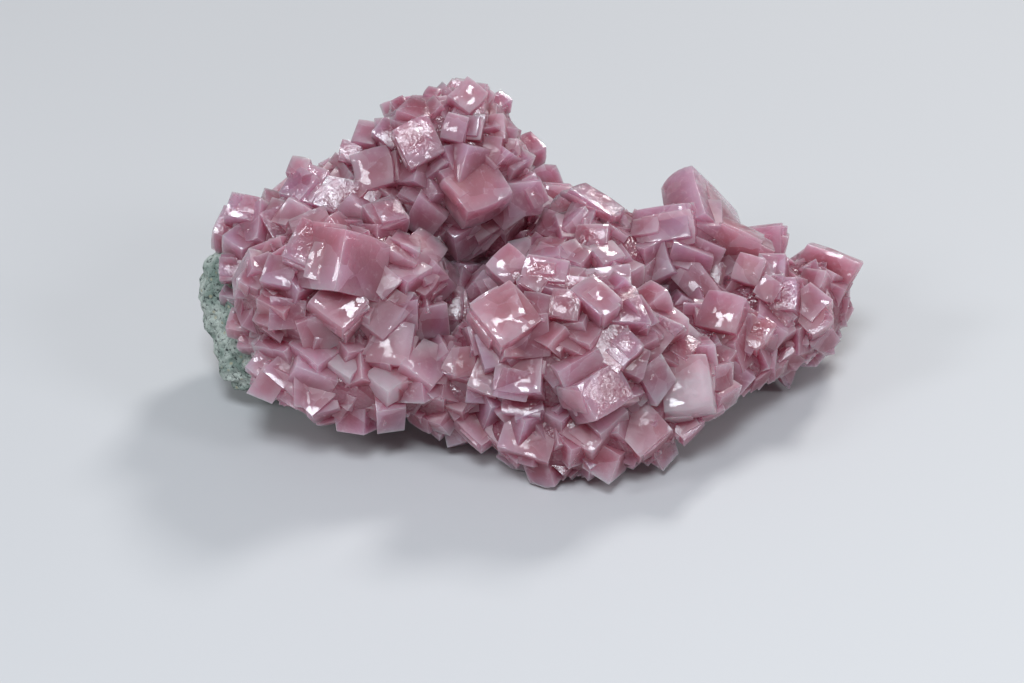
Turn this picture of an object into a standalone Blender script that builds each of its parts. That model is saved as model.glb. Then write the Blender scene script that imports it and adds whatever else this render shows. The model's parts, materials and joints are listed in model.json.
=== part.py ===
"""A smithsonite specimen: curved pink rhombohedral crystals crusting a lump of host rock.

The specimen rests on the flat under the host rock, at Z = 0, with its long side along X and its
display side towards -Y. The crust's mass is a set of lumps. The larger crystals stand on it one by
one, each laid out as it is seen from the display side, and smaller ones fill the crust between and
behind them. Lengths are in millimetres until the meshes are made, which are in metres.
"""

import math
import random

import bmesh
import bpy
from mathutils import Matrix, Vector

MM = 0.001

# Driving sizes.
SPECIMEN_LENGTH = 70.0
GAP = 0.3  # left between the crust and the rock, which are two solids
CRUST_FLOOR = 0.3  # the crust clears the table, and the rock carries the specimen
FACE_ANGLE = math.radians(102.0)  # obtuse corner of a rhombohedron's face
FILLER_SIZES = (4.2, 5.8)  # edges of the crystals that fill the crust's sides and back
FILLER_SPACING = 6.3
SMALL_FILLER_SIZES = (2.6, 3.6)  # and of those between the larger crystals
SMALL_FILLER_SPACING = 4.9
ROCK_ROUGHNESS = 0.06  # share of a rock lump's size that its surface wanders in and out
SEED = 15

# The display side is seen from 32 degrees above the table, 320 mm from the middle of the specimen.
TILT = math.radians(32.0)
DISTANCE = 320.0
AIM = Vector((-2.1, 0.0, 5.8))
ACROSS = Vector((1.0, 0.0, 0.0))
ALONG = Vector((0.0, math.cos(TILT), -math.sin(TILT)))
UPWARD = Vector((0.0, math.sin(TILT), math.cos(TILT)))
EYE = AIM - ALONG * DISTANCE

# Lumps of the crust: centre and half axes.
CRUST_LUMPS = {
    "front_hump": ((3.5, -10.5, 10.5), (11.5, 7.0, 8.8)),
    "front_foot": ((5.0, -14.6, 4.3), (10.0, 5.0, 4.0)),
    "front_right": ((13.5, -10.0, 7.5), (7.0, 5.0, 5.0)),
    "left_front": ((-19.5, -4.5, 14.0), (11.0, 7.5, 8.0)),
    "left_low": ((-17.0, -10.2, 8.3), (12.0, 5.0, 4.2)),
    "notch": ((-8.2, -9.8, 6.8), (6.2, 5.0, 4.6)),
    "left_end": ((-26.5, 3.0, 13.0), (6.3, 7.0, 7.5)),
    "left_shoulder": ((-20.0, 7.0, 17.0), (7.5, 6.0, 5.5)),
    "summit": ((-9.0, 10.0, 20.4), (8.7, 8.0, 9.2)),
    "summit_left": ((-13.0, 9.0, 18.0), (7.0, 6.5, 7.0)),
    "summit_right": ((-3.6, 11.0, 15.0), (3.9, 6.5, 7.6)),
    "middle": ((-3.0, 0.0, 8.0), (17.0, 10.0, 5.5)),
    "saddle": ((5.5, 4.5, 12.8), (8.0, 8.0, 5.2)),
    "right_shoulder": ((17.0, 7.5, 10.8), (6.0, 6.5, 6.5)),
    "right_front": ((17.5, -3.5, 7.0), (8.5, 6.5, 5.0)),
    "right_lobe": ((24.0, 2.0, 7.4), (8.0, 6.5, 5.5)),
    "right_end": ((29.0, 5.5, 7.3), (5.0, 5.0, 4.5)),
    "back_left": ((-10.0, 12.0, 10.0), (17.0, 7.0, 8.0)),
    "back_right": ((15.0, 8.0, 8.0), (12.0, 7.0, 5.5)),
}

# Lumps of the host rock, likewise. The slab's underside is cut flat at Z = 0.
ROCK_LUMPS = {
    "slab": ((-4.0, 4.0, 4.0), (25.0, 11.5, 5.2)),
    "right_root": ((15.0, 5.0, 4.6), (10.0, 7.0, 4.6)),
    "left_root": ((-23.5, 3.0, 6.5), (8.0, 7.0, 5.6)),
    "left_knob": ((-31.2, 3.2, 9.8), (4.0, 5.5, 6.0)),
    "left_toe": ((-28.8, -1.8, 6.0), (4.6, 5.0, 4.1)),
}

# The larger crystals. Each row is the near corner's place across and up the display side, how far
# the corner stands out of the lump behind it, the directions of its three edges as seen there
# (degrees, from +X turning up) and the edges' lengths, or one length for all three.
# The summit ridge, from its tip down to the big smooth crystal over the hollow.
SUMMIT = [
    (-4.5, 24.4, 2.0, (48, 142, 268), (3.0,)),
    (-3.0, 24.3, 2.2, (82, 178, 290), (3.5, 2.2, 3.0)),
    (-1.3, 25.0, 1.0, (30, 140, 262), (1.9,)),
    (-0.7, 21.7, 1.6, (95, 188, 300), (2.8, 2.4, 2.6)),
    (-8.1, 26.0, 0.8, (60, 165, 270), (1.5,)),
    (-9.4, 23.7, 1.5, (42, 160, 265), (3.3,)),
    (-12.2, 24.5, 0.9, (25, 125, 265), (1.6,)),
    (-11.6, 23.2, 1.8, (25, 155, 270), (2.6, 2.0, 2.5)),
    (-10.8, 18.4, 2.5, (26, 114, 250), (4.0, 4.5, 4.0)),
    (-4.7, 13.8, 4.6, (24, 124, 250), (5.6, 5.6, 3.5)),
    (-1.3, 18.9, 1.5, (85, 178, 300), (3.0,)),
    (2.2, 20.0, 1.3, (29, 137, 268), (1.9, 2.9, 2.6)),
    (-0.4, 16.8, 1.2, (5, 135, 272), (3.6, 3.4, 3.6)),
    (-5.3, 21.2, 1.4, (75, 165, 285), (2.8, 2.4, 2.5)),
    (-3.4, 21.5, 1.2, (80, 172, 290), (2.4,)),
    (0.7, 19.4, 1.6, (88, 176, 300), (2.2,)),
]
# The left shoulder, its large smooth crystal and the small ones round it.
LEFT_BLOCK = [
    (-8.0, 8.3, 2.3, (50, 142, 225), (3.2, 4.0, 4.0)),
    (-14.5, 14.8, 1.8, (105, 200, 320), (2.8,)),
    (-14.1, 12.0, 1.5, (20, 125, 260), (3.6,)),
    (-20.3, 13.0, 2.6, (21, 144, 235), (4.2,)),
    (-18.9, 5.4, 4.0, (77, 172, 343), (6.3,)),
    (-18.0, 1.4, 3.6, (45, 140, 270), (4.0, 4.6, 3.0)),
    (-23.7, 5.8, 1.5, (70, 165, 290), (3.2,)),
    (-20.3, 7.4, 2.2, (60, 155, 285), (4.6,)),
    (-21.4, 14.8, 2.2, (60, 160, 290), (4.2, 3.9, 4.0)),
    (-16.2, 18.8, 1.2, (80, 165, 280), (2.3, 2.4, 3.0)),
    (-12.7, 17.0, 1.6, (100, 195, 320), (4.2,)),
    (-14.7, 21.0, 1.5, (70, 168, 282), (2.7, 2.6, 2.6)),
    (-9.3, 14.3, 1.6, (50, 150, 275), (3.4, 3.4, 3.0)),
    (-7.7, 12.1, 1.6, (80, 172, 290), (2.2, 3.4, 2.5)),
    (-24.2, 12.4, 1.0, (60, 160, 280), (2.8,)),
    (-18.9, 15.7, 1.2, (30, 150, 265), (2.4, 2.2, 2.0)),
]
# The left end and the rim below it.
LEFT_END = [
    (-27.6, 12.9, 1.6, (70, 165, 280), (2.7, 3.2, 2.6)),
    (-28.8, 9.8, 2.0, (35, 140, 265), (2.6, 2.8, 3.0)),
    (-28.8, 7.1, 1.0, (85, 178, 290), (2.4,)),
    (-27.1, 5.5, 1.2, (50, 150, 270), (2.6,)),
    (-24.4, 3.1, 2.0, (40, 150, 275), (3.6,)),
    (-24.4, -1.1, 2.5, (40, 165, 290), (4.4,)),
    (-28.2, 1.0, 1.2, (70, 165, 280), (2.4,)),
    (-20.7, -2.6, 2.0, (30, 140, 265), (4.4,)),
    (-26.7, -4.1, 1.0, (45, 138, 268), (2.2, 2.2, 1.6)),
    (-24.4, -5.0, 1.2, (45, 138, 268), (2.8, 2.8, 1.6)),
    (-21.5, -6.5, 1.2, (45, 138, 268), (3.0, 3.0, 1.8)),
    (-13.2, -5.4, 2.2, (35, 140, 265), (3.2, 3.4, 2.6)),
    (-13.7, -7.3, 1.6, (30, 150, 270), (2.4, 2.6, 2.0)),
    (-26.7, -0.9, 1.4, (60, 155, 275), (2.8,)),
    (-22.1, 0.7, 1.4, (50, 150, 270), (3.2,)),
    (-17.3, -3.9, 1.2, (45, 145, 270), (3.2,)),
    (-29.2, 4.4, 0.8, (60, 160, 275), (2.2,)),
]
# The hollow between the left block and the front hump.
HOLLOW = [
    (-7.6, -6.2, 1.2, (80, 175, 290), (3.6,)),
    (-7.7, -3.8, 1.0, (110, 205, 330), (2.8,)),
    (-11.1, -2.6, 1.5, (80, 172, 300), (4.4,)),
    (-5.4, 2.3, 1.0, (85, 178, 300), (3.6,)),
    (-9.0, -8.4, 1.0, (50, 150, 275), (2.6,)),
    (-0.7, 11.3, 1.0, (45, 145, 270), (3.0,)),
    (-6.9, -1.5, 0.8, (60, 160, 280), (2.4,)),
    (-12.5, 4.1, 0.8, (45, 150, 270), (2.6,)),
    (-9.3, 4.9, 1.0, (50, 150, 270), (2.8,)),
    (-0.3, 5.8, 1.5, (45, 137, 270), (3.4,)),
]
# The saddle behind the front hump, with the pointed crystal that overhangs it.
MIDDLE = [
    (3.6, 16.7, 1.5, (355, 160, 263), (3.8,)),
    (10.6, 13.4, 3.5, (30, 148, 250), (2.8, 5.6, 1.4)),
    (8.3, 12.7, 1.5, (65, 170, 285), (3.0,)),
    (2.0, 13.6, 1.5, (30, 150, 268), (3.0,)),
    (4.4, 8.9, 2.0, (57, 180, 290), (3.6,)),
    (7.3, 8.3, 2.0, (50, 160, 275), (2.6, 3.0, 3.0)),
    (5.7, 6.3, 1.7, (80, 172, 275), (2.4, 4.6, 3.0)),
    (9.8, 8.3, 1.8, (20, 130, 255), (2.8,)),
    (10.2, 10.5, 1.5, (88, 182, 290), (2.2, 3.4, 3.0)),
    (11.7, 6.9, 2.5, (30, 158, 268), (3.8,)),
    (9.5, 2.8, 2.8, (38, 140, 265), (3.0, 4.4, 3.6)),
    (3.0, 5.1, 0.8, (60, 155, 280), (2.6,)),
]
# The front hump, its large flat crystals and its toe.
FRONT_HUMP = [
    (-1.1, -0.5, 3.4, (33, 128, 262), (5.0, 5.4, 4.0)),
    (3.0, -5.4, 2.5, (85, 178, 300), (4.8,)),
    (6.9, -4.7, 3.8, (32, 200, 300), (5.0, 5.0, 4.0)),
    (11.2, -3.3, 2.5, (50, 142, 270), (4.0,)),
    (12.4, 1.4, 1.2, (110, 205, 330), (2.2,)),
    (7.0, 2.2, 1.2, (80, 172, 290), (3.0,)),
    (3.5, 2.1, 1.0, (75, 170, 280), (3.0,)),
    (10.7, -6.6, 2.3, (20, 118, 240), (3.8,)),
    (13.7, -12.3, 2.3, (42, 135, 262), (4.4, 4.6, 2.6)),
    (15.3, -8.9, 1.5, (60, 165, 280), (2.6,)),
    (8.5, -11.8, 1.8, (55, 150, 275), (3.6, 4.0, 2.6)),
    (5.4, -14.3, 2.0, (43, 136, 268), (4.4, 4.6, 2.0)),
    (0.5, -13.0, 2.0, (42, 134, 268), (4.6, 4.8, 2.2)),
    (-3.2, -11.1, 1.8, (40, 136, 265), (3.8, 4.0, 2.0)),
    (-5.3, -7.5, 1.2, (60, 160, 280), (2.6,)),
    (-7.7, -10.1, 1.0, (45, 138, 268), (2.4, 2.6, 1.6)),
    (-4.3, -4.2, 1.2, (70, 165, 300), (3.6,)),
    (0.3, -8.4, 1.2, (50, 150, 280), (2.8,)),
    (18.4, -10.6, 1.2, (45, 138, 268), (3.0, 3.0, 1.8)),
    (10.7, -13.7, 1.0, (45, 138, 268), (2.8, 2.8, 1.6)),
    (21.4, -6.8, 4.6, (100, 190, 300), (5.4, 5.0, 4.0)),
    (20.3, -8.2, 3.6, (25, 118, 250), (2.6, 2.8, 2.0)),
    (8.3, -0.3, 1.6, (55, 160, 280), (3.0,)),
    (5.1, -1.1, 1.2, (50, 150, 270), (3.0,)),
    (-1.7, -5.9, 1.8, (72, 158, 270), (3.2,)),
    (3.0, -8.1, 2.0, (80, 172, 285), (1.8, 4.0, 2.5)),
    (5.3, -8.6, 1.8, (42, 150, 270), (2.6, 2.6, 2.0)),
    (9.6, -10.1, 1.2, (50, 150, 275), (2.2,)),
]
# The right arm, with its tall tooth, the square corner and the end crystal.
RIGHT_ARM = [
    (20.6, 13.7, 3.4, (108, 218, 318), (8.8, 4.4, 8.2)),
    (19.0, 11.3, 2.3, (95, 190, 300), (3.9, 6.2, 3.6)),
    (17.3, 7.5, 2.0, (110, 205, 330), (3.6,)),
    (18.8, 7.7, 1.2, (65, 165, 285), (3.0,)),
    (22.2, 12.6, 2.3, (100, 243, 335), (4.0, 4.4, 6.6)),
    (28.6, 12.4, 1.2, (45, 190, 274), (2.2, 4.4, 4.0)),
    (37.1, 8.3, 2.3, (35, 163, 243), (2.4, 6.0, 4.0)),
    (32.9, 5.7, 1.8, (75, 176, 300), (2.2, 2.7, 3.0)),
    (30.2, 3.4, 1.8, (92, 185, 300), (3.6,)),
    (29.0, 6.5, 1.5, (90, 183, 300), (3.0,)),
    (23.8, 0.9, 2.0, (75, 170, 300), (4.0, 4.4, 3.2)),
    (24.1, -0.4, 1.3, (100, 195, 320), (3.2,)),
    (26.1, -0.9, 1.5, (55, 150, 270), (3.6,)),
    (28.1, 0.1, 1.6, (50, 145, 270), (3.6,)),
    (31.8, 0.8, 1.4, (42, 136, 268), (3.2, 3.4, 2.0)),
    (32.0, 2.1, 1.4, (50, 145, 270), (3.4,)),
    (30.5, -1.8, 0.8, (40, 140, 268), (2.4, 2.8, 1.6)),
    (27.4, -3.6, 0.8, (40, 140, 268), (2.8, 2.8, 1.8)),
    (23.0, -5.6, 1.2, (30, 125, 260), (1.9,)),
    (22.7, -3.0, 0.6, (60, 160, 280), (2.6,)),
    (24.9, -2.2, 0.8, (80, 175, 290), (2.4,)),
    (20.6, 6.3, 1.2, (75, 170, 290), (2.8,)),
    (19.5, 5.4, 1.0, (60, 160, 290), (3.0,)),
    (14.5, 3.8, 1.3, (40, 150, 290), (2.8,)),
    (16.6, 0.6, 1.2, (40, 145, 270), (3.2,)),
    (13.8, 2.1, 1.2, (100, 225, 325), (3.0,)),
    (22.0, 5.9, 1.2, (80, 172, 290), (2.6,)),
    (27.7, 4.0, 1.2, (60, 150, 280), (2.4,)),
    (26.2, 5.9, 1.4, (75, 165, 290), (3.0,)),
    (23.5, 6.9, 1.2, (60, 160, 280), (3.0,)),
]
REGIONS = (SUMMIT, LEFT_BLOCK, LEFT_END, HOLLOW, MIDDLE, FRONT_HUMP, RIGHT_ARM)

def seat(across, upward):
    """Returns the sight line to a place on the display side, and how far along it the lumps lie."""
    sight = (ALONG * DISTANCE + ACROSS * across + UPWARD * upward).normalized()
    hits, misses = [], []
    for centre, axes in CRUST_LUMPS.values():
        start = Vector([(e - c) / a for e, c, a in zip(EYE, centre, axes)])
        step = Vector([s / a for s, a in zip(sight, axes)])
        nearest = -start.dot(step) / step.length_squared
        clearance = (start + step * nearest).length_squared
        if clearance < 1.0:
            hits.append(nearest - math.sqrt((1.0 - clearance) / step.length_squared))
        misses.append((clearance, nearest))
    return sight, min(hits) if hits else min(misses)[1]


def edge_depths(directions):
    """Returns how much each of three square edges runs away from the eye, from their directions."""
    def cosine(i, j):
        return min(math.cos(directions[i] - directions[j]), -0.02)

    depths = []
    for i in range(3):
        j, k = (i + 1) % 3, (i + 2) % 3
        ratio = -cosine(i, j) * cosine(i, k) / cosine(j, k)
        depths.append(math.sqrt(ratio / (1.0 + ratio)))
    return depths


def placed_crystal(across, upward, lift, degrees, lengths):
    """Returns a larger crystal's near corner and its three edges."""
    sight, distance = seat(across, upward)
    corner = EYE + sight * (distance - lift)
    right = sight.cross(Vector((0.0, 0.0, 1.0))).normalized()
    above = right.cross(sight)
    directions = [math.radians(d) for d in degrees]
    if len(lengths) == 1:
        lengths = lengths * 3
    edges = []
    for turn, depth, length in zip(directions, edge_depths(directions), lengths):
        aside = math.sqrt(1.0 - depth * depth)
        edge = (right * math.cos(turn) + above * math.sin(turn)) * aside + sight * depth
        edges.append(edge * length)
    return corner, edges


def outward_crystal(rng, point, normal, size, lift):
    """Returns a filler rhombohedron that stands out of the crust at a point."""
    rise = math.sqrt((1.0 + 2.0 * math.cos(FACE_ANGLE)) / (2.0 - 2.0 * math.cos(FACE_ANGLE)))
    lean = Vector([rng.gauss(0.0, 0.45) for _ in range(3)])
    axis = -(normal + lean).normalized()
    aside = axis.orthogonal().normalized()
    aside.rotate(Matrix.Rotation(rng.uniform(0.0, math.tau), 3, axis))
    edges = []
    for third in range(3):
        around = aside.copy()
        around.rotate(Matrix.Rotation(math.tau * third / 3.0, 3, axis))
        edges.append((around + axis * rise).normalized() * size * rng.uniform(0.85, 1.15))
    return point + normal * size * lift, edges


def sphere_points(count):
    """Returns points spread evenly over a unit sphere."""
    golden = math.pi * (3.0 - math.sqrt(5.0))
    for i in range(count):
        z = 1.0 - 2.0 * (i + 0.5) / count
        ring = math.sqrt(1.0 - z * z)
        yield Vector((ring * math.cos(golden * i), ring * math.sin(golden * i), z))


def inside(point, lumps, scale):
    """Says whether a point lies within any of the lumps, scaled about their centres."""
    for centre, axes in lumps:
        if sum(((p - c) / (a * scale)) ** 2 for p, c, a in zip(point, centre, axes)) < 1.0:
            return True
    return False


def buried_in_crystal(point, crystals):
    """Says whether a point lies inside one of the crystals."""
    for corner, edges in crystals:
        local = Matrix(edges).transposed().inverted() @ (point - corner)
        if all(0.0 < value < 1.0 for value in local):
            return True
    return False


def filler_crystals(rng, placed):
    """Returns the smaller crystals that cover the lumps wherever no larger one does."""
    found, taken = [], [corner for corner, _ in placed]
    lumps = list(CRUST_LUMPS.values())
    rock = list(ROCK_LUMPS.values())
    for index, (centre, axes) in enumerate(lumps):
        others = lumps[:index] + lumps[index + 1:]
        area = (axes[0] * axes[1] + axes[1] * axes[2] + axes[0] * axes[2]) * 4.2
        for ball in sphere_points(int(area / 2.2)):
            point = Vector([c + a * b for c, a, b in zip(centre, axes, ball)])
            normal = Vector([b / a for a, b in zip(axes, ball)]).normalized()
            if point.z < 2.2 or inside(point, others, 0.97) or inside(point, rock, 1.1):
                continue
            on_display_side = normal.dot(ALONG) < 0.3
            spacing = SMALL_FILLER_SPACING if on_display_side else FILLER_SPACING
            if any((point - other).length < spacing for other in taken):
                continue
            if buried_in_crystal(point, placed):
                continue
            taken.append(point)
            size = rng.uniform(*(SMALL_FILLER_SIZES if on_display_side else FILLER_SIZES))
            size = min(size, 0.65 * min(axes))
            lift = rng.uniform(0.1, 0.3) if on_display_side else rng.uniform(0.25, 0.45)
            found.append(outward_crystal(rng, point, normal, size, lift))
    return found


def crystal_mesh(corner, edges):
    """Returns a crystal's bmesh, a six-sided box on three edges."""
    columns = [[edge[row] * MM for edge in edges] + [corner[row] * MM] for row in range(3)]
    mesh = bmesh.new()
    bmesh.ops.create_cube(mesh, size=1.0, matrix=Matrix.Translation((0.5, 0.5, 0.5)))
    bmesh.ops.transform(mesh, matrix=Matrix(columns + [[0.0, 0.0, 0.0, 1.0]]), verts=mesh.verts)
    return mesh


def lump_place(centre, axes):
    """Returns the matrix that makes a lump of a unit ball."""
    size = Matrix.Diagonal([a * MM for a in axes]).to_4x4()
    return Matrix.Translation(Vector(centre) * MM) @ size


def lump_mesh(centre, axes):
    """Returns a smooth lump's bmesh."""
    mesh = bmesh.new()
    place = lump_place(centre, axes)
    bmesh.ops.create_icosphere(mesh, subdivisions=2, radius=1.0, matrix=place)
    return mesh


def rock_mesh(centre, axes, grow=0.0):
    """Returns a rough lump's bmesh, with its surface pushed in and out by crossing waves."""
    mesh = bmesh.new()
    place = lump_place(centre, axes)
    bmesh.ops.create_uvsphere(mesh, u_segments=14, v_segments=8, radius=1.0)
    for vert in mesh.verts:
        x, y, z = vert.co
        wave = math.sin(5.1 * x + 2.0 * y + centre[0]) * math.sin(4.3 * y - 3.1 * z + centre[1])
        wave += 0.6 * math.sin(9.0 * z + 7.0 * x * y + centre[2]) * math.cos(8.0 * x - 5.0 * z)
        vert.co = place @ (vert.co * (1.0 + ROCK_ROUGHNESS * wave))
    bmesh.ops.triangulate(mesh, faces=mesh.faces)
    mesh.normal_update()
    for vert in mesh.verts:
        vert.co += vert.normal * grow * MM
    return mesh


def mesh_object(name, mesh, group):
    """Makes an object of a bmesh and frees the bmesh."""
    bmesh.ops.recalc_face_normals(mesh, faces=mesh.faces)
    data = bpy.data.meshes.new(name)
    mesh.to_mesh(data)
    mesh.free()
    made = bpy.data.objects.new(name, data)
    group.objects.link(made)
    return made


def new_group(name, parent):
    """Makes a collection inside another."""
    group = bpy.data.collections.new(name)
    parent.children.link(group)
    return group


def floor_group(name, height, parent):
    """Makes a group of one box, which fills everything below a height."""
    group = new_group(name, parent)
    reach = SPECIMEN_LENGTH * 2.0
    mesh = bmesh.new()
    place = Matrix.Translation((0.0, 0.0, (height - reach / 2.0) * MM))
    bmesh.ops.create_cube(mesh, size=reach * MM, matrix=place)
    mesh_object(name + "_box", mesh, group)
    return group


def combine(target, operation, group):
    """Joins a group's pieces to an object, or takes them out of it."""
    boolean = target.modifiers.new(group.name, "BOOLEAN")
    boolean.operation = operation
    boolean.solver = "EXACT"
    boolean.operand_type = "COLLECTION"
    boolean.collection = group


def settle(target):
    """Replaces an object's mesh by its finished shape, as one closed body of clean triangles."""
    graph = bpy.context.evaluated_depsgraph_get()
    mesh = bmesh.new()
    mesh.from_object(target, graph)
    keep_largest(mesh)
    flat = math.radians(0.2)
    bmesh.ops.dissolve_limit(mesh, angle_limit=flat, verts=mesh.verts, edges=mesh.edges)
    bmesh.ops.triangulate(mesh, faces=mesh.faces)
    target.modifiers.clear()
    mesh.to_mesh(target.data)
    mesh.free()


def keep_largest(mesh):
    """Deletes all but the largest of a bmesh's separate pieces."""
    unseen, pieces = set(mesh.verts), []
    while unseen:
        piece, edge = set(), [unseen.pop()]
        while edge:
            vert = edge.pop()
            piece.add(vert)
            for link in vert.link_edges:
                other = link.other_vert(vert)
                if other in unseen:
                    unseen.remove(other)
                    edge.append(other)
        pieces.append(piece)
    pieces.sort(key=len)
    spare = [vert for piece in pieces[:-1] for vert in piece]
    bmesh.ops.delete(mesh, geom=spare, context="VERTS")


def finish(target, name, colour, roughness):
    """Gives an object its material."""
    material = bpy.data.materials.new(name)
    material.use_nodes = True
    shader = material.node_tree.nodes["Principled BSDF"]
    shader.inputs["Base Color"].default_value = (*colour, 1.0)
    shader.inputs["Roughness"].default_value = roughness
    shader.inputs["Metallic"].default_value = 0.0
    material.diffuse_color = (*colour, 1.0)
    target.data.materials.clear()
    target.data.materials.append(material)


def build_crust(specimen, cutters):
    """Builds the crystal crust, hollowed out for the rock that it grows on."""
    growth = new_group("crust_growth", cutters)
    first, *lumps = CRUST_LUMPS.values()
    for number, (centre, axes) in enumerate(lumps):
        mesh_object(f"crust_lump_{number}", lump_mesh(centre, axes), growth)
    placed = [placed_crystal(*row) for region in REGIONS for row in region]
    crystals = placed + filler_crystals(random.Random(SEED), placed)
    for number, (corner, edges) in enumerate(crystals):
        mesh_object(f"crystal_{number}", crystal_mesh(corner, edges), growth)

    socket = new_group("rock_socket", cutters)
    for name, (centre, axes) in ROCK_LUMPS.items():
        mesh_object(name + "_socket", rock_mesh(centre, axes, GAP), socket)

    crust = mesh_object("smithsonite_crust", lump_mesh(*first), specimen)
    combine(crust, "UNION", growth)
    combine(crust, "DIFFERENCE", socket)
    combine(crust, "DIFFERENCE", floor_group("crust_floor", CRUST_FLOOR, cutters))
    settle(crust)
    finish(crust, "smithsonite", (0.50, 0.22, 0.27), 0.22)
    return crust


def build_rock(specimen, cutters):
    """Builds the host rock, with the flat that it rests on."""
    growth = new_group("rock_growth", cutters)
    first, *lumps = ROCK_LUMPS.values()
    for number, (centre, axes) in enumerate(lumps):
        mesh_object(f"rock_lump_{number}", rock_mesh(centre, axes), growth)
    rock = mesh_object("matrix_rock", rock_mesh(*first), specimen)
    combine(rock, "UNION", growth)
    combine(rock, "DIFFERENCE", floor_group("rock_floor", 0.0, cutters))
    settle(rock)
    finish(rock, "matrix", (0.16, 0.20, 0.17), 0.85)
    return rock


def centre(parts):
    """Moves the parts together, so that the middle of their box stands over the origin."""
    points = [vert.co for part in parts for vert in part.data.vertices]
    middle = [(min(p[axis] for p in points) + max(p[axis] for p in points)) / 2.0 for axis in (0, 1)]
    for part in parts:
        part.data.transform(Matrix.Translation((-middle[0], -middle[1], 0.0)))


def main():
    for old in list(bpy.data.objects):
        bpy.data.objects.remove(old, do_unlink=True)
    scene = bpy.context.scene.collection
    specimen = new_group("smithsonite_specimen", scene)
    cutters = new_group("cutters", scene)
    centre([build_crust(specimen, cutters), build_rock(specimen, cutters)])
    for cutter in cutters.all_objects:
        cutter.hide_render = True
        cutter.display_type = "WIRE"


main()
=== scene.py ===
"""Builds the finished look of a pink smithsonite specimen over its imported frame.

The specimen is a crust of curved rhombohedral crystals on a lump of porous host rock. The crust's
mass is a set of lumps, and the larger crystals stand on it one by one. Fillers and a druse of small
crystals cover the rest of the lumps, and companions have grown on and into the larger crystals. All
are joined into one solid, which carries the marks that the finish reads. Lengths are in millimetres
until a mesh is made, which is in metres.
"""

import json
import logging
import math
import random
from dataclasses import dataclass, field
from enum import Enum
from functools import reduce
from typing import List, NamedTuple, Sequence, Tuple, Union

import bpy
import numpy as np
from mathutils import Matrix, Vector

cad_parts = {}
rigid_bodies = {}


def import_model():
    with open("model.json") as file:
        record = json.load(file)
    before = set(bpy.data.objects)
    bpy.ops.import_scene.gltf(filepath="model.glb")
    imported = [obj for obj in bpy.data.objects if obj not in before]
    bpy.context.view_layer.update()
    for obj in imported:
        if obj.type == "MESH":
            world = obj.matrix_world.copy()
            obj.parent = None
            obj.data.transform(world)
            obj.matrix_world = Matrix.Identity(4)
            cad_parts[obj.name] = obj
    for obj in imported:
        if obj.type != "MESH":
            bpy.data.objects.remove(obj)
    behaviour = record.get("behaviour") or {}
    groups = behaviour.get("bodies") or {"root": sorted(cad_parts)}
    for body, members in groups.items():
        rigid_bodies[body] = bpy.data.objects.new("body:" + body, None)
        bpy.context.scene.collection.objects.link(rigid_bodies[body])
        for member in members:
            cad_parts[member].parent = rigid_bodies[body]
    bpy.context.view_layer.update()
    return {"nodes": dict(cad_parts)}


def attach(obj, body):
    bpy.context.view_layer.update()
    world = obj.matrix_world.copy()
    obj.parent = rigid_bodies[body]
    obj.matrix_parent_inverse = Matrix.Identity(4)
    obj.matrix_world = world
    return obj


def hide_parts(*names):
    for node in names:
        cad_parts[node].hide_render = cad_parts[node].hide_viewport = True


LOG = logging.getLogger("smithsonite")

MM = 0.001
SEED = 15

# Where the middle of the specimen's box lies among the lumps below.
MIDDLE = np.array((0.27, 0.404, 0.0))

# Lumps and crystals are laid out from this side: 32 degrees above the table, 320 mm away.
TILT = math.radians(32.0)
DISTANCE = 320.0
AIM = np.array((-2.1, 0.0, 5.8))
ACROSS = np.array((1.0, 0.0, 0.0))
ALONG = np.array((0.0, math.cos(TILT), -math.sin(TILT)))
UPWARD = np.array((0.0, math.sin(TILT), math.cos(TILT)))
EYE = AIM - ALONG * DISTANCE

# The lumps of the crust's mass, each with its centre and its half axes.
CRUST_LUMPS = {
    "front_hump": ((3.5, -10.5, 10.5), (11.5, 7.0, 8.8)),
    "front_foot": ((5.0, -14.6, 4.3), (10.0, 5.0, 4.0)),
    "front_right": ((13.5, -10.0, 7.5), (7.0, 5.0, 5.0)),
    "left_front": ((-19.5, -4.5, 14.0), (11.0, 7.5, 8.0)),
    "left_low": ((-17.0, -10.2, 8.3), (12.0, 5.0, 4.2)),
    "notch": ((-8.2, -9.8, 6.8), (6.2, 5.0, 4.6)),
    "left_end": ((-26.5, 3.0, 13.0), (6.3, 7.0, 7.5)),
    "left_shoulder": ((-20.0, 7.0, 17.0), (7.5, 6.0, 5.5)),
    "summit": ((-9.0, 10.0, 20.4), (8.7, 8.0, 9.2)),
    "summit_left": ((-13.0, 9.0, 18.0), (7.0, 6.5, 7.0)),
    "summit_right": ((-3.6, 11.0, 15.0), (3.9, 6.5, 7.6)),
    "middle": ((-3.0, 0.0, 8.0), (17.0, 10.0, 5.5)),
    "saddle": ((5.5, 4.5, 12.8), (8.0, 8.0, 5.2)),
    "right_shoulder": ((17.0, 7.5, 10.8), (6.0, 6.5, 6.5)),
    "right_front": ((17.5, -3.5, 7.0), (8.5, 6.5, 5.0)),
    "right_lobe": ((24.0, 2.0, 7.4), (8.0, 6.5, 5.5)),
    "right_end": ((29.0, 5.5, 7.3), (5.0, 5.0, 4.5)),
    "back_left": ((-10.0, 12.0, 10.0), (17.0, 7.0, 8.0)),
    "back_right": ((15.0, 8.0, 8.0), (12.0, 7.0, 5.5)),
}

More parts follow.
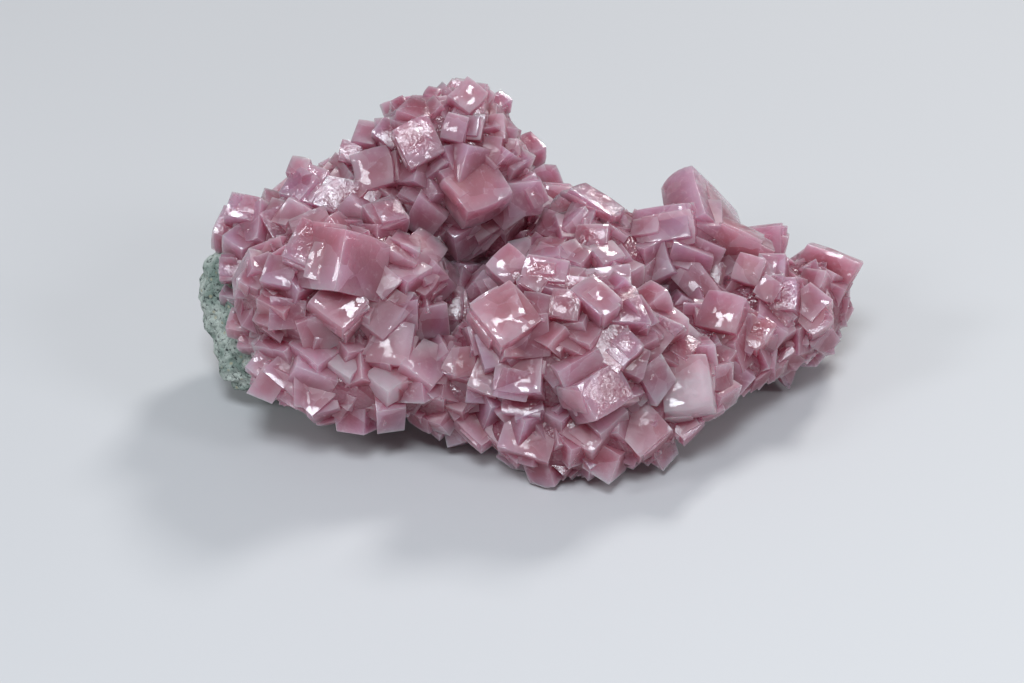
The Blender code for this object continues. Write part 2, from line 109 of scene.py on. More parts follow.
# Lumps of the host rock, likewise. The slab's underside is cut flat at Z = 0.
ROCK_LUMPS = {
    "slab": ((-4.0, 4.0, 4.0), (25.0, 11.5, 5.2)),
    "right_root": ((15.0, 5.0, 4.6), (10.0, 7.0, 4.6)),
    "left_root": ((-23.5, 3.0, 6.5), (8.0, 7.0, 5.6)),
    "left_knob": ((-31.2, 3.2, 9.8), (4.0, 5.5, 6.0)),
    "left_toe": ((-28.8, -1.8, 6.0), (4.6, 5.0, 4.1)),
}

# The larger crystals. Each row is the near corner's place across and up the display side, how far
# the corner stands out of the lump behind it, the directions of its three edges as seen there
# (degrees, from +X turning up) and the edges' lengths, or one length for all three.
# The summit ridge, from its tip down to the big smooth crystal over the hollow.
SUMMIT = [
    (-4.5, 24.4, 2.0, (48, 142, 268), 3.0),
    (-3.0, 24.3, 2.2, (82, 178, 290), (3.5, 2.2, 3.0)),
    (-1.3, 25.0, 1.0, (30, 140, 262), 1.9),
    (-0.7, 21.7, 1.6, (95, 188, 300), (2.8, 2.4, 2.6)),
    (-8.1, 26.0, 0.8, (60, 165, 270), 1.5),
    (-9.4, 23.7, 1.5, (42, 160, 265), 3.3),
    (-12.2, 24.5, 0.9, (25, 125, 265), 1.6),
    (-11.6, 23.2, 1.8, (25, 155, 270), (2.6, 2.0, 2.5)),
    (-10.8, 18.4, 2.5, (26, 114, 250), (4.0, 4.5, 4.0)),
    (-4.7, 13.8, 4.6, (24, 124, 250), (5.6, 5.6, 3.5)),
    (-1.3, 18.9, 1.5, (85, 178, 300), 3.0),
    (2.2, 20.0, 1.3, (29, 137, 268), (1.9, 2.9, 2.6)),
    (-0.4, 16.8, 1.2, (5, 135, 272), (3.6, 3.4, 3.6)),
    (-5.3, 21.2, 1.4, (75, 165, 285), (2.8, 2.4, 2.5)),
    (-3.4, 21.5, 1.2, (80, 172, 290), 2.4),
    (0.7, 19.4, 1.6, (88, 176, 300), 2.2),
]
# The left shoulder, its large smooth crystal and the small ones round it.
LEFT_BLOCK = [
    (-8.0, 8.3, 2.3, (50, 142, 225), (3.2, 4.0, 4.0)),
    (-14.5, 14.8, 1.8, (105, 200, 320), 2.8),
    (-14.1, 12.0, 1.5, (20, 125, 260), 3.6),
    (-20.3, 13.0, 2.6, (21, 144, 235), 4.2),
    (-18.9, 5.4, 4.0, (77, 172, 343), 6.3),
    (-18.0, 1.4, 3.6, (45, 140, 270), (4.0, 4.6, 3.0)),
    (-23.7, 5.8, 1.5, (70, 165, 290), 3.2),
    (-20.3, 7.4, 2.2, (60, 155, 285), 4.6),
    (-21.4, 14.8, 2.2, (60, 160, 290), (4.2, 3.9, 4.0)),
    (-16.2, 18.8, 1.2, (80, 165, 280), (2.3, 2.4, 3.0)),
    (-12.7, 17.0, 1.6, (100, 195, 320), 4.2),
    (-14.7, 21.0, 1.5, (70, 168, 282), (2.7, 2.6, 2.6)),
    (-9.3, 14.3, 1.6, (50, 150, 275), (3.4, 3.4, 3.0)),
    (-7.7, 12.1, 1.6, (80, 172, 290), (2.2, 3.4, 2.5)),
    (-24.2, 12.4, 1.0, (60, 160, 280), 2.8),
    (-18.9, 15.7, 1.2, (30, 150, 265), (2.4, 2.2, 2.0)),
]
# The left end and the rim below it.
LEFT_END = [
    (-27.6, 12.9, 1.6, (70, 165, 280), (2.7, 3.2, 2.6)),
    (-28.8, 9.8, 2.0, (35, 140, 265), (2.6, 2.8, 3.0)),
    (-28.8, 7.1, 1.0, (85, 178, 290), 2.4),
    (-27.1, 5.5, 1.2, (50, 150, 270), 2.6),
    (-24.4, 3.1, 2.0, (40, 150, 275), 3.6),
    (-24.4, -1.1, 2.5, (40, 165, 290), 4.4),
    (-28.2, 1.0, 1.2, (70, 165, 280), 2.4),
    (-20.7, -2.6, 2.0, (30, 140, 265), 4.4),
    (-26.7, -4.1, 1.0, (45, 138, 268), (2.2, 2.2, 1.6)),
    (-24.4, -5.0, 1.2, (45, 138, 268), (2.8, 2.8, 1.6)),
    (-21.5, -6.5, 1.2, (45, 138, 268), (3.0, 3.0, 1.8)),
    (-13.7, -7.3, 1.6, (30, 150, 270), (2.4, 2.6, 2.0)),
    (-26.7, -0.9, 1.4, (60, 155, 275), 2.8),
    (-22.1, 0.7, 1.4, (50, 150, 270), 3.2),
    (-29.2, 4.4, 0.8, (60, 160, 275), 2.2),
]
# The hollow between the left block and the front hump.
HOLLOW = [
    (-7.6, -6.2, 1.2, (80, 175, 290), 3.6),
    (-7.7, -3.8, 1.0, (110, 205, 330), 2.8),
    (-11.1, -2.6, 1.5, (80, 172, 300), 4.4),
    (-5.4, 2.3, 1.0, (85, 178, 300), 3.6),
    (-9.0, -8.4, 1.0, (50, 150, 275), 2.6),
    (-0.7, 11.3, 1.0, (45, 145, 270), 3.0),
    (-6.9, -1.5, 0.8, (60, 160, 280), 2.4),
    (-12.5, 4.1, 0.8, (45, 150, 270), 2.6),
    (-9.3, 4.9, 1.0, (50, 150, 270), 2.8),
    (-0.3, 5.8, 1.5, (45, 137, 270), 3.4),
]
# The saddle behind the front hump, with the pointed crystal that overhangs it.
MIDDLE_SLOPE = [
    (3.6, 16.7, 1.5, (355, 160, 263), 3.8),
    (10.6, 13.4, 3.5, (30, 148, 250), (2.8, 5.6, 1.4)),
    (8.3, 12.7, 1.5, (65, 170, 285), 3.0),
    (2.0, 13.6, 1.5, (30, 150, 268), 3.0),
    (4.4, 8.9, 2.0, (57, 180, 290), 3.6),
    (7.3, 8.3, 2.0, (50, 160, 275), (2.6, 3.0, 3.0)),
    (5.7, 6.3, 1.7, (80, 172, 275), (2.4, 4.6, 3.0)),
    (9.8, 8.3, 1.8, (20, 130, 255), 2.8),
    (10.2, 10.5, 1.5, (88, 182, 290), (2.2, 3.4, 3.0)),
    (11.7, 6.9, 2.5, (30, 158, 268), 3.8),
    (9.5, 2.8, 2.8, (38, 140, 265), (3.0, 4.4, 3.6)),
    (3.0, 5.1, 0.8, (60, 155, 280), 2.6),
]
# The front hump, its large flat crystals and its toe.
FRONT_HUMP = [
    (-1.1, -0.5, 3.4, (33, 128, 262), (5.0, 5.4, 4.0)),
    (3.0, -5.4, 2.5, (85, 178, 300), 4.8),
    (6.9, -4.7, 3.8, (32, 200, 300), (5.0, 5.0, 4.0)),
    (11.2, -3.3, 2.5, (50, 142, 270), 4.0),
    (12.4, 1.4, 1.2, (110, 205, 330), 2.2),
    (7.0, 2.2, 1.2, (80, 172, 290), 3.0),
    (3.5, 2.1, 1.0, (75, 170, 280), 3.0),
    (10.7, -6.6, 2.3, (20, 118, 240), 3.8),
    (13.7, -12.3, 2.3, (42, 135, 262), (4.4, 4.6, 2.6)),
    (15.3, -8.9, 1.5, (60, 165, 280), 2.6),
    (8.5, -11.8, 1.8, (55, 150, 275), (3.6, 4.0, 2.6)),
    (5.4, -14.3, 2.0, (43, 136, 268), (4.4, 4.6, 2.0)),
    (0.5, -13.0, 2.0, (42, 134, 268), (4.6, 4.8, 2.2)),
    (-3.2, -11.1, 1.8, (40, 136, 265), (3.8, 4.0, 2.0)),
    (-5.3, -7.5, 1.2, (60, 160, 280), 2.6),
    (-7.7, -10.1, 1.0, (45, 138, 268), (2.4, 2.6, 1.6)),
    (-4.3, -4.2, 1.2, (70, 165, 300), 3.6),
    (0.3, -8.4, 1.2, (50, 150, 280), 2.8),
    (18.4, -10.6, 1.2, (45, 138, 268), (3.0, 3.0, 1.8)),
    (10.7, -13.7, 1.0, (45, 138, 268), (2.8, 2.8, 1.6)),
    (20.3, -8.2, 3.6, (25, 118, 250), (2.6, 2.8, 2.0)),
    (8.3, -0.3, 1.6, (55, 160, 280), 3.0),
    (5.1, -1.1, 1.2, (50, 150, 270), 3.0),
    (-1.7, -5.9, 1.8, (72, 158, 270), 3.2),
    (3.0, -8.1, 2.0, (80, 172, 285), (1.8, 4.0, 2.5)),
    (5.3, -8.6, 1.8, (42, 150, 270), (2.6, 2.6, 2.0)),
    (9.6, -10.1, 1.2, (50, 150, 275), 2.2),
]
# The right arm, with its tall tooth, the square corner and the end crystal.
RIGHT_ARM = [
    (20.6, 13.7, 3.4, (108, 218, 318), (8.8, 4.4, 8.2)),
    (19.0, 11.3, 2.3, (95, 190, 300), (3.9, 6.2, 3.6)),
    (17.3, 7.5, 2.0, (110, 205, 330), 3.6),
    (18.8, 7.7, 1.2, (65, 165, 285), 3.0),
    (22.2, 12.6, 2.3, (100, 243, 335), (4.0, 4.4, 6.6)),
    (28.6, 12.4, 1.2, (45, 190, 274), (2.2, 4.4, 4.0)),
    (37.1, 8.3, 2.3, (35, 163, 243), (2.4, 6.0, 4.0)),
    (32.9, 5.7, 1.8, (75, 176, 300), (2.2, 2.7, 3.0)),
    (30.2, 3.4, 1.8, (92, 185, 300), 3.6),
    (29.0, 6.5, 1.5, (90, 183, 300), 3.0),
    (23.8, 0.9, 2.0, (75, 170, 300), (4.0, 4.4, 3.2)),
    (24.1, -0.4, 1.3, (100, 195, 320), 3.2),
    (26.1, -0.9, 1.5, (55, 150, 270), 3.6),
    (28.1, 0.1, 1.6, (50, 145, 270), 3.6),
    (31.8, 0.8, 1.4, (42, 136, 268), (3.2, 3.4, 2.0)),
    (32.0, 2.1, 1.4, (50, 145, 270), 3.4),
    (30.5, -1.8, 0.8, (40, 140, 268), (2.4, 2.8, 1.6)),
    (27.4, -3.6, 0.8, (40, 140, 268), (2.8, 2.8, 1.8)),
    (23.0, -5.6, 1.2, (30, 125, 260), 1.9),
    (22.7, -3.0, 0.6, (60, 160, 280), 2.6),
    (24.9, -2.2, 0.8, (80, 175, 290), 2.4),
    (20.6, 6.3, 1.2, (75, 170, 290), 2.8),
    (19.5, 5.4, 1.0, (60, 160, 290), 3.0),
    (14.5, 3.8, 1.3, (40, 150, 290), 2.8),
    (16.6, 0.6, 1.2, (40, 145, 270), 3.2),
    (13.8, 2.1, 1.2, (100, 225, 325), 3.0),
    (22.0, 5.9, 1.2, (80, 172, 290), 2.6),
    (27.7, 4.0, 1.2, (60, 150, 280), 2.4),
    (26.2, 5.9, 1.4, (75, 165, 290), 3.0),
    (23.5, 6.9, 1.2, (60, 160, 280), 3.0),
]
# The milky ones: the square crystal at the front's right, and two on the left rim.
MILKY = [
    (21.4, -6.8, 4.6, (100, 190, 300), (5.4, 5.0, 4.0)),
    (-13.2, -5.4, 2.2, (35, 140, 265), (3.2, 3.4, 2.6)),
    (-17.3, -3.9, 1.2, (45, 145, 270), 3.2),
]
REGIONS = (SUMMIT, LEFT_BLOCK, LEFT_END, HOLLOW, MIDDLE_SLOPE, FRONT_HUMP, RIGHT_ARM, MILKY)


# Large odd numbers that scramble a lattice corner's place and a seed into a random value.
PLACE_FACTORS = np.array((73856093, 19349663, 83492791))
SEED_FACTOR = 40503
SCRAMBLING = ((13, 1274126177), (15, 668265263))
LOW_BITS = 0xFFFFFFFF

# An ellipsoid's area, over the sum of the products of its half axes: about 4 pi / 3.
AREA_FACTOR = 4.2

Colour = Tuple[float, float, float, float]
Range = Tuple[float, float]
Lump = Tuple[Sequence[float], Sequence[float]]
Socket = bpy.types.NodeSocket
Wire = Union[bpy.types.NodeSocket, float, Sequence[float]]


class Growth(Enum):
    """The kinds of crystal in the crust, with the tone that each one's faces start from."""

    PLACED = 0.55
    FILLER = 0.45
    COMPANION = 0.6
    DRUSE = 0.35
    LUMP = 0.1
    MILKY = 2.0


class Crystal(NamedTuple):
    """A crystal's near corner, its three edges as rows, and its kind."""

    corner: np.ndarray
    edges: np.ndarray
    kind: Growth


# Numbers --------------------------------------------------------------------------------------


def lattice_noise(points: np.ndarray, cell: float, seed: int) -> np.ndarray:
    """Returns smooth noise: random values at a cubic lattice's corners, blended by 3t^2 - 2t^3.

    Args:
        points: an (..., 3) array of places, in millimetres.
        cell: the lattice's spacing, in millimetres.
        seed: picks the random values.

    Returns:
        An (...) array of values between -1 and 1.
    """
    place = points / cell
    base = np.floor(place).astype(np.int64)
    share = place - base
    share = share * share * (3.0 - 2.0 * share)
    total = np.zeros(points.shape[:-1])
    for near in np.ndindex(2, 2, 2):
        mixed = np.bitwise_xor.reduce((base + near) * PLACE_FACTORS, axis=-1) ^ (seed * SEED_FACTOR)
        for shift, factor in SCRAMBLING:
            mixed = ((mixed ^ (mixed >> shift)) * factor) & LOW_BITS
        value = mixed / 2.0**31 - 1.0
        total += value * np.prod(np.where(near, share, 1.0 - share), axis=-1)
    return total


def noise_vectors(points: np.ndarray, cell: float, seed: int) -> np.ndarray:
    """Returns three lattice noises as an (..., 3) array of vectors."""
    return np.stack([lattice_noise(points, cell, seed + axis) for axis in range(3)], axis=-1)


def ball_points(count: int) -> np.ndarray:
    """Spreads points over a unit sphere: even steps in height, golden steps in turn.

    Args:
        count: how many points.

    Returns:
        A (count, 3) array.
    """
    step = np.arange(count)
    height = 1.0 - 2.0 * (step + 0.5) / count
    ring = np.sqrt(1.0 - height * height)
    turn = math.pi * (3.0 - math.sqrt(5.0)) * step
    return np.stack((ring * np.cos(turn), ring * np.sin(turn), height), axis=-1)


def lump_area(axes: Sequence[float]) -> float:
    """Returns about how large an ellipsoid's surface is."""
    return (axes[0] * axes[1] + axes[1] * axes[2] + axes[0] * axes[2]) * AREA_FACTOR


def inside_lumps(points: np.ndarray, lumps: Sequence[Lump], scale: float) -> np.ndarray:
    """Says which points lie within any of the lumps.

    Args:
        points: an (n, 3) array of places.
        lumps: the lumps.
        scale: what the lumps are scaled by about their centres.

    Returns:
        An (n,) array of truth values.
    """
    found = np.zeros(len(points), dtype=bool)
    for centre, axes in lumps:
        away = (points - np.array(centre)) / (np.array(axes) * scale)
        found |= np.sum(away * away, axis=1) < 1.0
    return found


def inside_crystals(points: np.ndarray, crystals: Sequence[Crystal], margin: float) -> np.ndarray:
    """Says which points lie within any crystal, by their three shares of its edges.

    Args:
        points: an (n, 3) array of places.
        crystals: the crystals.
        margin: share of each edge that counts as outside, at both ends.

    Returns:
        An (n,) array of truth values.
    """
    inverses = np.linalg.inv(np.stack([c.edges for c in crystals]))
    corners = np.stack([c.corner for c in crystals])
    shares = np.einsum("nmi,mij->nmj", points[:, None, :] - corners[None], inverses)
    return np.any(np.all((shares > margin) & (shares < 1.0 - margin), axis=2), axis=1)


def edge_rise(angle: float) -> float:
    """Works out how far a rhombohedron's edge rises along its axis for each unit across it.

    Args:
        angle: the angle between two edges at the corner on the axis, in radians.

    Returns:
        The rise, from cos(angle) = (rise^2 - 1/2) / (rise^2 + 1).
    """
    cosine = math.cos(angle)
    return math.sqrt((1.0 + 2.0 * cosine) / (2.0 - 2.0 * cosine))


# Meshes ---------------------------------------------------------------------------------------


@dataclass(frozen=True)
class Shell:
    """A closed surface: its points, its faces, each point's mark and all faces' tone."""

    points: np.ndarray
    faces: np.ndarray
    local: np.ndarray
    tone: float

    def mesh_object(self, name: str, group: bpy.types.Collection) -> bpy.types.Object:
        """Makes an object of the shell, with its marks as attributes.

        Args:
            name: the object's name.
            group: the collection that it goes in.

        Returns:
            The new object.
        """
        mesh = bpy.data.meshes.new(name)
        mesh.vertices.add(len(self.points))
        mesh.vertices.foreach_set("co", ((self.points - MIDDLE) * MM).astype(np.float32).ravel())
        mesh.loops.add(self.faces.size)
        mesh.loops.foreach_set("vertex_index", self.faces.astype(np.int32).ravel())
        mesh.polygons.add(len(self.faces))
        starts = np.arange(0, self.faces.size, self.faces.shape[1], dtype=np.int32)
        mesh.polygons.foreach_set("loop_start", starts)
        mesh.update(calc_edges=True)
        tone = mesh.attributes.new("tone", "FLOAT", "FACE")
        tone.data.foreach_set("value", np.full(len(self.faces), self.tone, dtype=np.float32))
        local = mesh.attributes.new("local", "FLOAT_VECTOR", "CORNER")
        local.data.foreach_set("vector", self.local[self.faces].astype(np.float32).ravel())
        made = bpy.data.objects.new(name, mesh)
        group.objects.link(made)
        return made


class CubeLattice:
    """The surface of a cube as six (u, v) grids with shared edges, for any crystal to be bent from.

    Its points run from -1 to 1 along each axis. They are close together near the edges, where a
    crystal is rounded.
    """

    def __init__(self, inner: int, rim: float = 0.97) -> None:
        """Builds the lattice.

        Args:
            inner: number of even steps across a face between its rims.
            rim: where the row of points beside each edge lies.
        """
        stations = np.concatenate(((-1.0,), np.linspace(-rim, rim, inner + 1), (1.0,)))
        last = len(stations) - 1
        grid = np.stack(np.meshgrid(*[np.arange(last + 1)] * 3, indexing="ij"), axis=-1)
        skin = np.any((grid == 0) | (grid == last), axis=-1)
        number = np.cumsum(skin.ravel()).reshape(skin.shape) - 1
        self.points = stations[grid[skin]]
        faces = []
        for axis in range(3):
            for side in (0, last):
                sheet = np.take(number, side, axis=axis)
                corners = (sheet[:-1, :-1], sheet[1:, :-1], sheet[1:, 1:], sheet[:-1, 1:])
                quads = np.stack(corners, axis=-1).reshape(-1, 4)
                turned = (side == 0) != (axis == 1)
                faces.append(quads[:, ::-1] if turned else quads)
        self.faces = np.concatenate(faces)


@dataclass(frozen=True)
class CurvedRhomb:
    """Bends a cube lattice into a crystal with swollen faces, bowed and rounded edges."""

    rounding: float = 0.03
    swell: float = 0.08
    swell_range: Range = (0.35, 1.3)
    bend: float = 0.05
    taper: float = 0.28
    placed_taper: float = 0.08
    wobble: float = 0.06
    wobble_cell: float = 1.7
    tone_spread: float = 0.16
    tone_limit: float = 0.4

    def shell(self, crystal: Crystal, lattice: CubeLattice, rng: np.random.Generator) -> Shell:
        """Returns the crystal's closed surface.

        A point (a, b, c) of the cube first has its corner rounded: it moves to the distance r
        from the cube shrunk by r. Each coordinate then grows by the factor
        1 + k (2 - the squares of the other two) / 2, which swells the faces by k and bows the
        edges by half of that, and shifts by m (1 - the square of the next one), which bends the
        faces into saddles. Last, each coordinate's distance from the near corner shrinks with the
        distance along the next one, which tapers the crystal. The three edges carry the point to
        its place, and noise ruffles it.

        Args:
            crystal: the crystal's corner and edges.
            lattice: the cube's points and faces.
            rng: picks the crystal's own swelling, bend, taper and tone.

        Returns:
            The shell, with the cube's coordinates as its local marks.
        """
        cube = lattice.points
        core = np.clip(cube, self.rounding - 1.0, 1.0 - self.rounding)
        reach = cube - core
        length = np.linalg.norm(reach, axis=1, keepdims=True)
        rounded = core + reach / np.maximum(length, 1e-9) * self.rounding
        squares = rounded * rounded
        others = np.sum(squares, axis=1, keepdims=True) - squares
        swelling = self.swell * rng.uniform(*self.swell_range, size=3)
        bent = rounded * (1.0 + swelling * (2.0 - others) / 2.0)
        bent = bent + self.bend * rng.normal(size=3) * (1.0 - np.roll(squares, 1, axis=1))
        placed = crystal.kind in (Growth.PLACED, Growth.MILKY)
        taper = self.placed_taper if placed else self.taper
        narrowing = taper * rng.uniform(0.0, 1.0, size=3) * (np.roll(bent, 1, axis=1) + 1.0) / 2.0
        shares = (bent + 1.0) / 2.0 * (1.0 - narrowing)
        points = crystal.corner + shares @ crystal.edges
        points = points + noise_vectors(points, self.wobble_cell, SEED) * self.wobble
        faces = lattice.faces if np.linalg.det(crystal.edges) > 0.0 else lattice.faces[:, ::-1]
        drift = float(np.clip(rng.normal(0.0, self.tone_spread), -self.tone_limit, self.tone_limit))
        return Shell(points, faces, cube, max(crystal.kind.value + drift, 0.0))


def ball_shell(centre: np.ndarray, axes: np.ndarray, turns: int, rings: int, tone: float) -> Shell:
    """Returns an ellipsoid: a point is centre + axes * (sin v cos u, sin v sin u, cos v).

    Args:
        centre: the middle.
        axes: the half axes.
        turns: number of steps of u round the vertical axis.
        rings: number of steps of v from the top pole to the bottom one.
        tone: the faces' mark.

    Returns:
        The shell, with its seam and poles closed by shared points.
    """
    down = np.arange(1, rings) * (math.pi / rings)
    v, u = np.meshgrid(down, np.arange(turns) * (2.0 * math.pi / turns), indexing="ij")
    ring = np.stack((np.sin(v) * np.cos(u), np.sin(v) * np.sin(u), np.cos(v)), axis=-1)
    unit = np.concatenate((ring.reshape(-1, 3), ((0.0, 0.0, 1.0), (0.0, 0.0, -1.0))))
    top, bottom = len(unit) - 2, len(unit) - 1
    number = np.arange((rings - 1) * turns).reshape(rings - 1, turns)
    after = np.roll(number, -1, axis=1)
    quads = np.stack((number[:-1], number[1:], after[1:], after[:-1]), axis=-1).reshape(-1, 4)
    top_fan = np.stack((np.full(turns, top), number[0], after[0]), axis=-1)
    bottom_fan = np.stack((number[-1], np.full(turns, bottom), after[-1]), axis=-1)
    faces = np.concatenate((quads[:, (0, 1, 2)], quads[:, (0, 2, 3)], top_fan, bottom_fan))
    return Shell(centre + unit * axes, faces, unit * 0.0, tone)


def joined(name: str, shells: Sequence[Shell], floor: float) -> bpy.types.Object:
    """Joins overlapping shells into one solid, cut off flat at the bottom and shaded smooth.

    Args:
        name: the new object's name.
        shells: closed surfaces that overlap. The first one is the body that the rest join.
        floor: the height below which everything is cut away.

    Returns:
        The solid, with no modifiers or materials left on it.
    """
    scene = bpy.context.scene.collection
    parts, bed = (bpy.data.collections.new(name + end) for end in ("_parts", "_bed"))
    scene.children.link(parts)
    scene.children.link(bed)
    solid = shells[0].mesh_object(name, scene)
    for number, shell in enumerate(shells[1:]):
        shell.mesh_object(f"{name}_part_{number}", parts)
    reach = np.array((90.0, 90.0, 30.0))
    block = CubeLattice(1)
    below = np.array((0.0, 0.0, floor - reach[2])) + block.points * reach
    Shell(below, block.faces, block.points, 0.0).mesh_object(name + "_below", bed)
    for operation, group in (("UNION", parts), ("DIFFERENCE", bed)):
        step = solid.modifiers.new(operation.lower(), "BOOLEAN")
        step.operation = operation
        step.solver = "MANIFOLD"
        step.operand_type = "COLLECTION"
        step.collection = group
    graph = bpy.context.evaluated_depsgraph_get()
    final = solid.evaluated_get(graph)
    mesh = bpy.data.meshes.new_from_object(final, preserve_all_data_layers=True, depsgraph=graph)
    solid.modifiers.clear()
    old = solid.data
    solid.data = mesh
    bpy.data.meshes.remove(old)
    mesh.name = name
    for group in (parts, bed):
        for part in list(group.objects):
            bpy.data.meshes.remove(part.data)
        bpy.data.collections.remove(group)
    mesh.polygons.foreach_set("use_smooth", np.ones(len(mesh.polygons), dtype=bool))
    mesh.materials.clear()
    return solid


# Finishes -------------------------------------------------------------------------------------


class Grain(NamedTuple):
    """A noise's scale per millimetre, its detail and its roughness."""

    scale: float
    detail: float = 2.0
    roughness: float = 0.5


class Share(NamedTuple):
    """The values at which a share starts and ends, and the most that it comes to."""

    start: float
    end: float
    most: float = 1.0


class Nodes:
    """Wires up a material's node tree."""

    def __init__(self, name: str) -> None:
        """Makes a material with only a Principled BSDF and its output.

        Args:
            name: the material's name.
        """
        self.material = bpy.data.materials.new(name)
        self.material.use_nodes = True
        self.tree = self.material.node_tree

    def shade(self, **values: Wire) -> bpy.types.Material:
        """Sets the Principled BSDF's sockets.

        Args:
            values: what each socket gets, by its name with underscores for spaces.

        Returns:
            The finished material.
        """
        shader = self.tree.nodes["Principled BSDF"]
        for key, value in values.items():
            self.feed(shader.inputs[key.replace("_", " ")], value)
        return self.material

    def add(self, kind: str, **settings) -> bpy.types.Node:
        """Adds a node.

        Args:
            kind: the node type's name after "ShaderNode".
            settings: properties by name, and input sockets by a name that starts with "in_", with
                underscores for spaces.

        Returns:
            The node.
        """
        node = self.tree.nodes.new("ShaderNode" + kind)
        for key, value in settings.items():
            if key.startswith("in_"):
                self.feed(node.inputs[key[3:].replace("_", " ")], value)
            else:
                setattr(node, key, value)
        return node

    def feed(self, socket: Socket, value: Wire) -> None:
        """Links a socket to an input, or gives the input a plain value.

        Args:
            socket: the input.
            value: what it gets.
        """
        if isinstance(value, bpy.types.NodeSocket):
            self.tree.links.new(value, socket)
        else:
            socket.default_value = value

    def chain(self, kind: str, operation: str, *values: Wire) -> Socket:
        """Adds a node that works something out.

        Args:
            kind: Math or VectorMath.
            operation: the node's operation.
            values: what its inputs get, in order.

        Returns:
            The result.
        """
        node = self.add(kind, operation=operation)
        for socket, value in zip(node.inputs, values):
            self.feed(socket, value)
        return node.outputs[0]

    def math(self, operation: str, *values: Wire) -> Socket:
        """Works through two or more values in turn, by Math nodes of one operation."""
        return reduce(lambda total, value: self.chain("Math", operation, total, value), values)

    def plus(self, *values: Wire) -> Socket:
        """Returns the sum of the values."""
        return self.math("ADD", *values)

    def times(self, *values: Wire) -> Socket:
        """Returns the product of the values."""
        return self.math("MULTIPLY", *values)

    def mark(self, name: str, output: str = "Fac") -> Socket:
        """Returns an attribute of the mesh."""
        return self.add("Attribute", attribute_name=name).outputs[output]

    def place_in_mm(self) -> Socket:
        """Returns the place on the object, in millimetres."""
        place = self.add("TexCoord").outputs["Object"]
        return self.add("VectorMath", operation="SCALE", in_Vector=place, in_Scale=1.0 / MM).outputs[0]

    def noise(self, place: Socket, grain: Grain, output: Union[str, int] = 0) -> Socket:
        """Adds a Noise Texture.

        Args:
            place: where it is read, in millimetres.
            grain: its scale, detail and roughness.
            output: the output's name or number.

        Returns:
            Its factor, or the named output.
        """
        node = self.add("TexNoise", in_Vector=place, in_Scale=grain.scale)
        self.feed(node.inputs["Detail"], grain.detail)
        self.feed(node.inputs["Roughness"], grain.roughness)
        return node.outputs[output]

    def cells(self, place: Socket, scale: float, output: str = "Distance", **settings) -> Socket:
        """Adds a Voronoi Texture and returns its distance or its colour."""
        return self.add("TexVoronoi", in_Vector=place, in_Scale=scale, **settings).outputs[output]

    def share(self, value: Socket, share: Share) -> Socket:
        """Turns a value into a share, smoothly and clamped.

        Args:
            value: the value.
            share: where the share is 0, where it is full, and what it comes to there.

        Returns:
            The share.
        """
        node = self.add("MapRange", interpolation_type="SMOOTHSTEP")
        for socket, number in zip(node.inputs, (value, share.start, share.end, 0.0, share.most)):
            self.feed(socket, number)
        return node.outputs[0]

    def blend(self, share: Wire, first: Wire, second: Wire) -> Socket:
        """Mixes two colours.

        Args:
            share: how much there is of the second.
            first: the first colour.
            second: the second colour.

        Returns:
            The mixed colour.
        """
        node = self.add("Mix", data_type="RGBA")
        for index, value in ((0, share), (6, first), (7, second)):
            self.feed(node.inputs[index], value)
        return node.outputs[2]

    def bump(self, height: Socket, strength: float, depth: float) -> Socket:
        """Adds a Bump node, whose depth is in millimetres, and returns its normal."""
        return self.add("Bump", in_Strength=strength, in_Distance=depth * MM, in_Height=height).outputs[0]


class CrystalNodes(Nodes):
    """The crystals' node tree, with the values that its colour and its relief start from.

    They are the place in millimetres, plain and swirled by noise, the place in the crystal's own
    cube, its tone, the nearness to an edge, three numbers that each face draws, a soft noise, and
    how milky, how far down in a crevice, where shade is painted, and how hammered the place is.
    """

    def __init__(self, name: str, finish: "CrystalFinish") -> None:
        """Adds the nodes that the others start from.

        Args:
            name: the material's name.
            finish: the numbers that the nodes take.
        """
        super().__init__(name)
        self.place = self.place_in_mm()
        self.cloud = self.noise(self.place, finish.cloud)
        swirl = self.noise(self.place, finish.swirl, "Color")
        self.swirled = self.chain("VectorMath", "MULTIPLY_ADD", swirl, (finish.swirl_mm,) * 3, self.place)
        self.tone = self.mark("tone")
        self.axes = self.add("SeparateXYZ", in_Vector=self.mark("local", "Vector")).outputs
        sizes = [self.chain("Math", "ABSOLUTE", axis) for axis in self.axes]

        # How near a point is to an edge: the middle one of its three distances from the centre.
        pairs = [self.math("MAXIMUM", sizes[i], sizes[(i + 1) % 3]) for i in range(3)]
        self.near_edge = self.math("MINIMUM", *pairs)

        # A crystal's tone and the axis that a face looks along pick the face's three numbers.
        second, third = (self.math("GREATER_THAN", size, finish.face_rim) for size in sizes[1:])
        number = self.plus(second, self.times(self.tone, finish.draws_per_tone), self.times(third, 2.0))
        drawn = self.add("TexWhiteNoise", noise_dimensions="1D", in_W=number).outputs["Color"]
        self.draws = self.add("SeparateColor", in_Color=drawn).outputs

        self.milky = self.share(self.tone, finish.milky_tone)
        clear = self.math("SUBTRACT", 1.0, self.milky)
        self.hammered = self.times(self.share(self.draws[0], finish.hammered_draw), clear)
        # Where the surface stands low over the lumps, in crevices: shade is painted there and the coat is
        # dulled.
        self.crevice = self.share(self.mark("standing"), finish.standing_low)


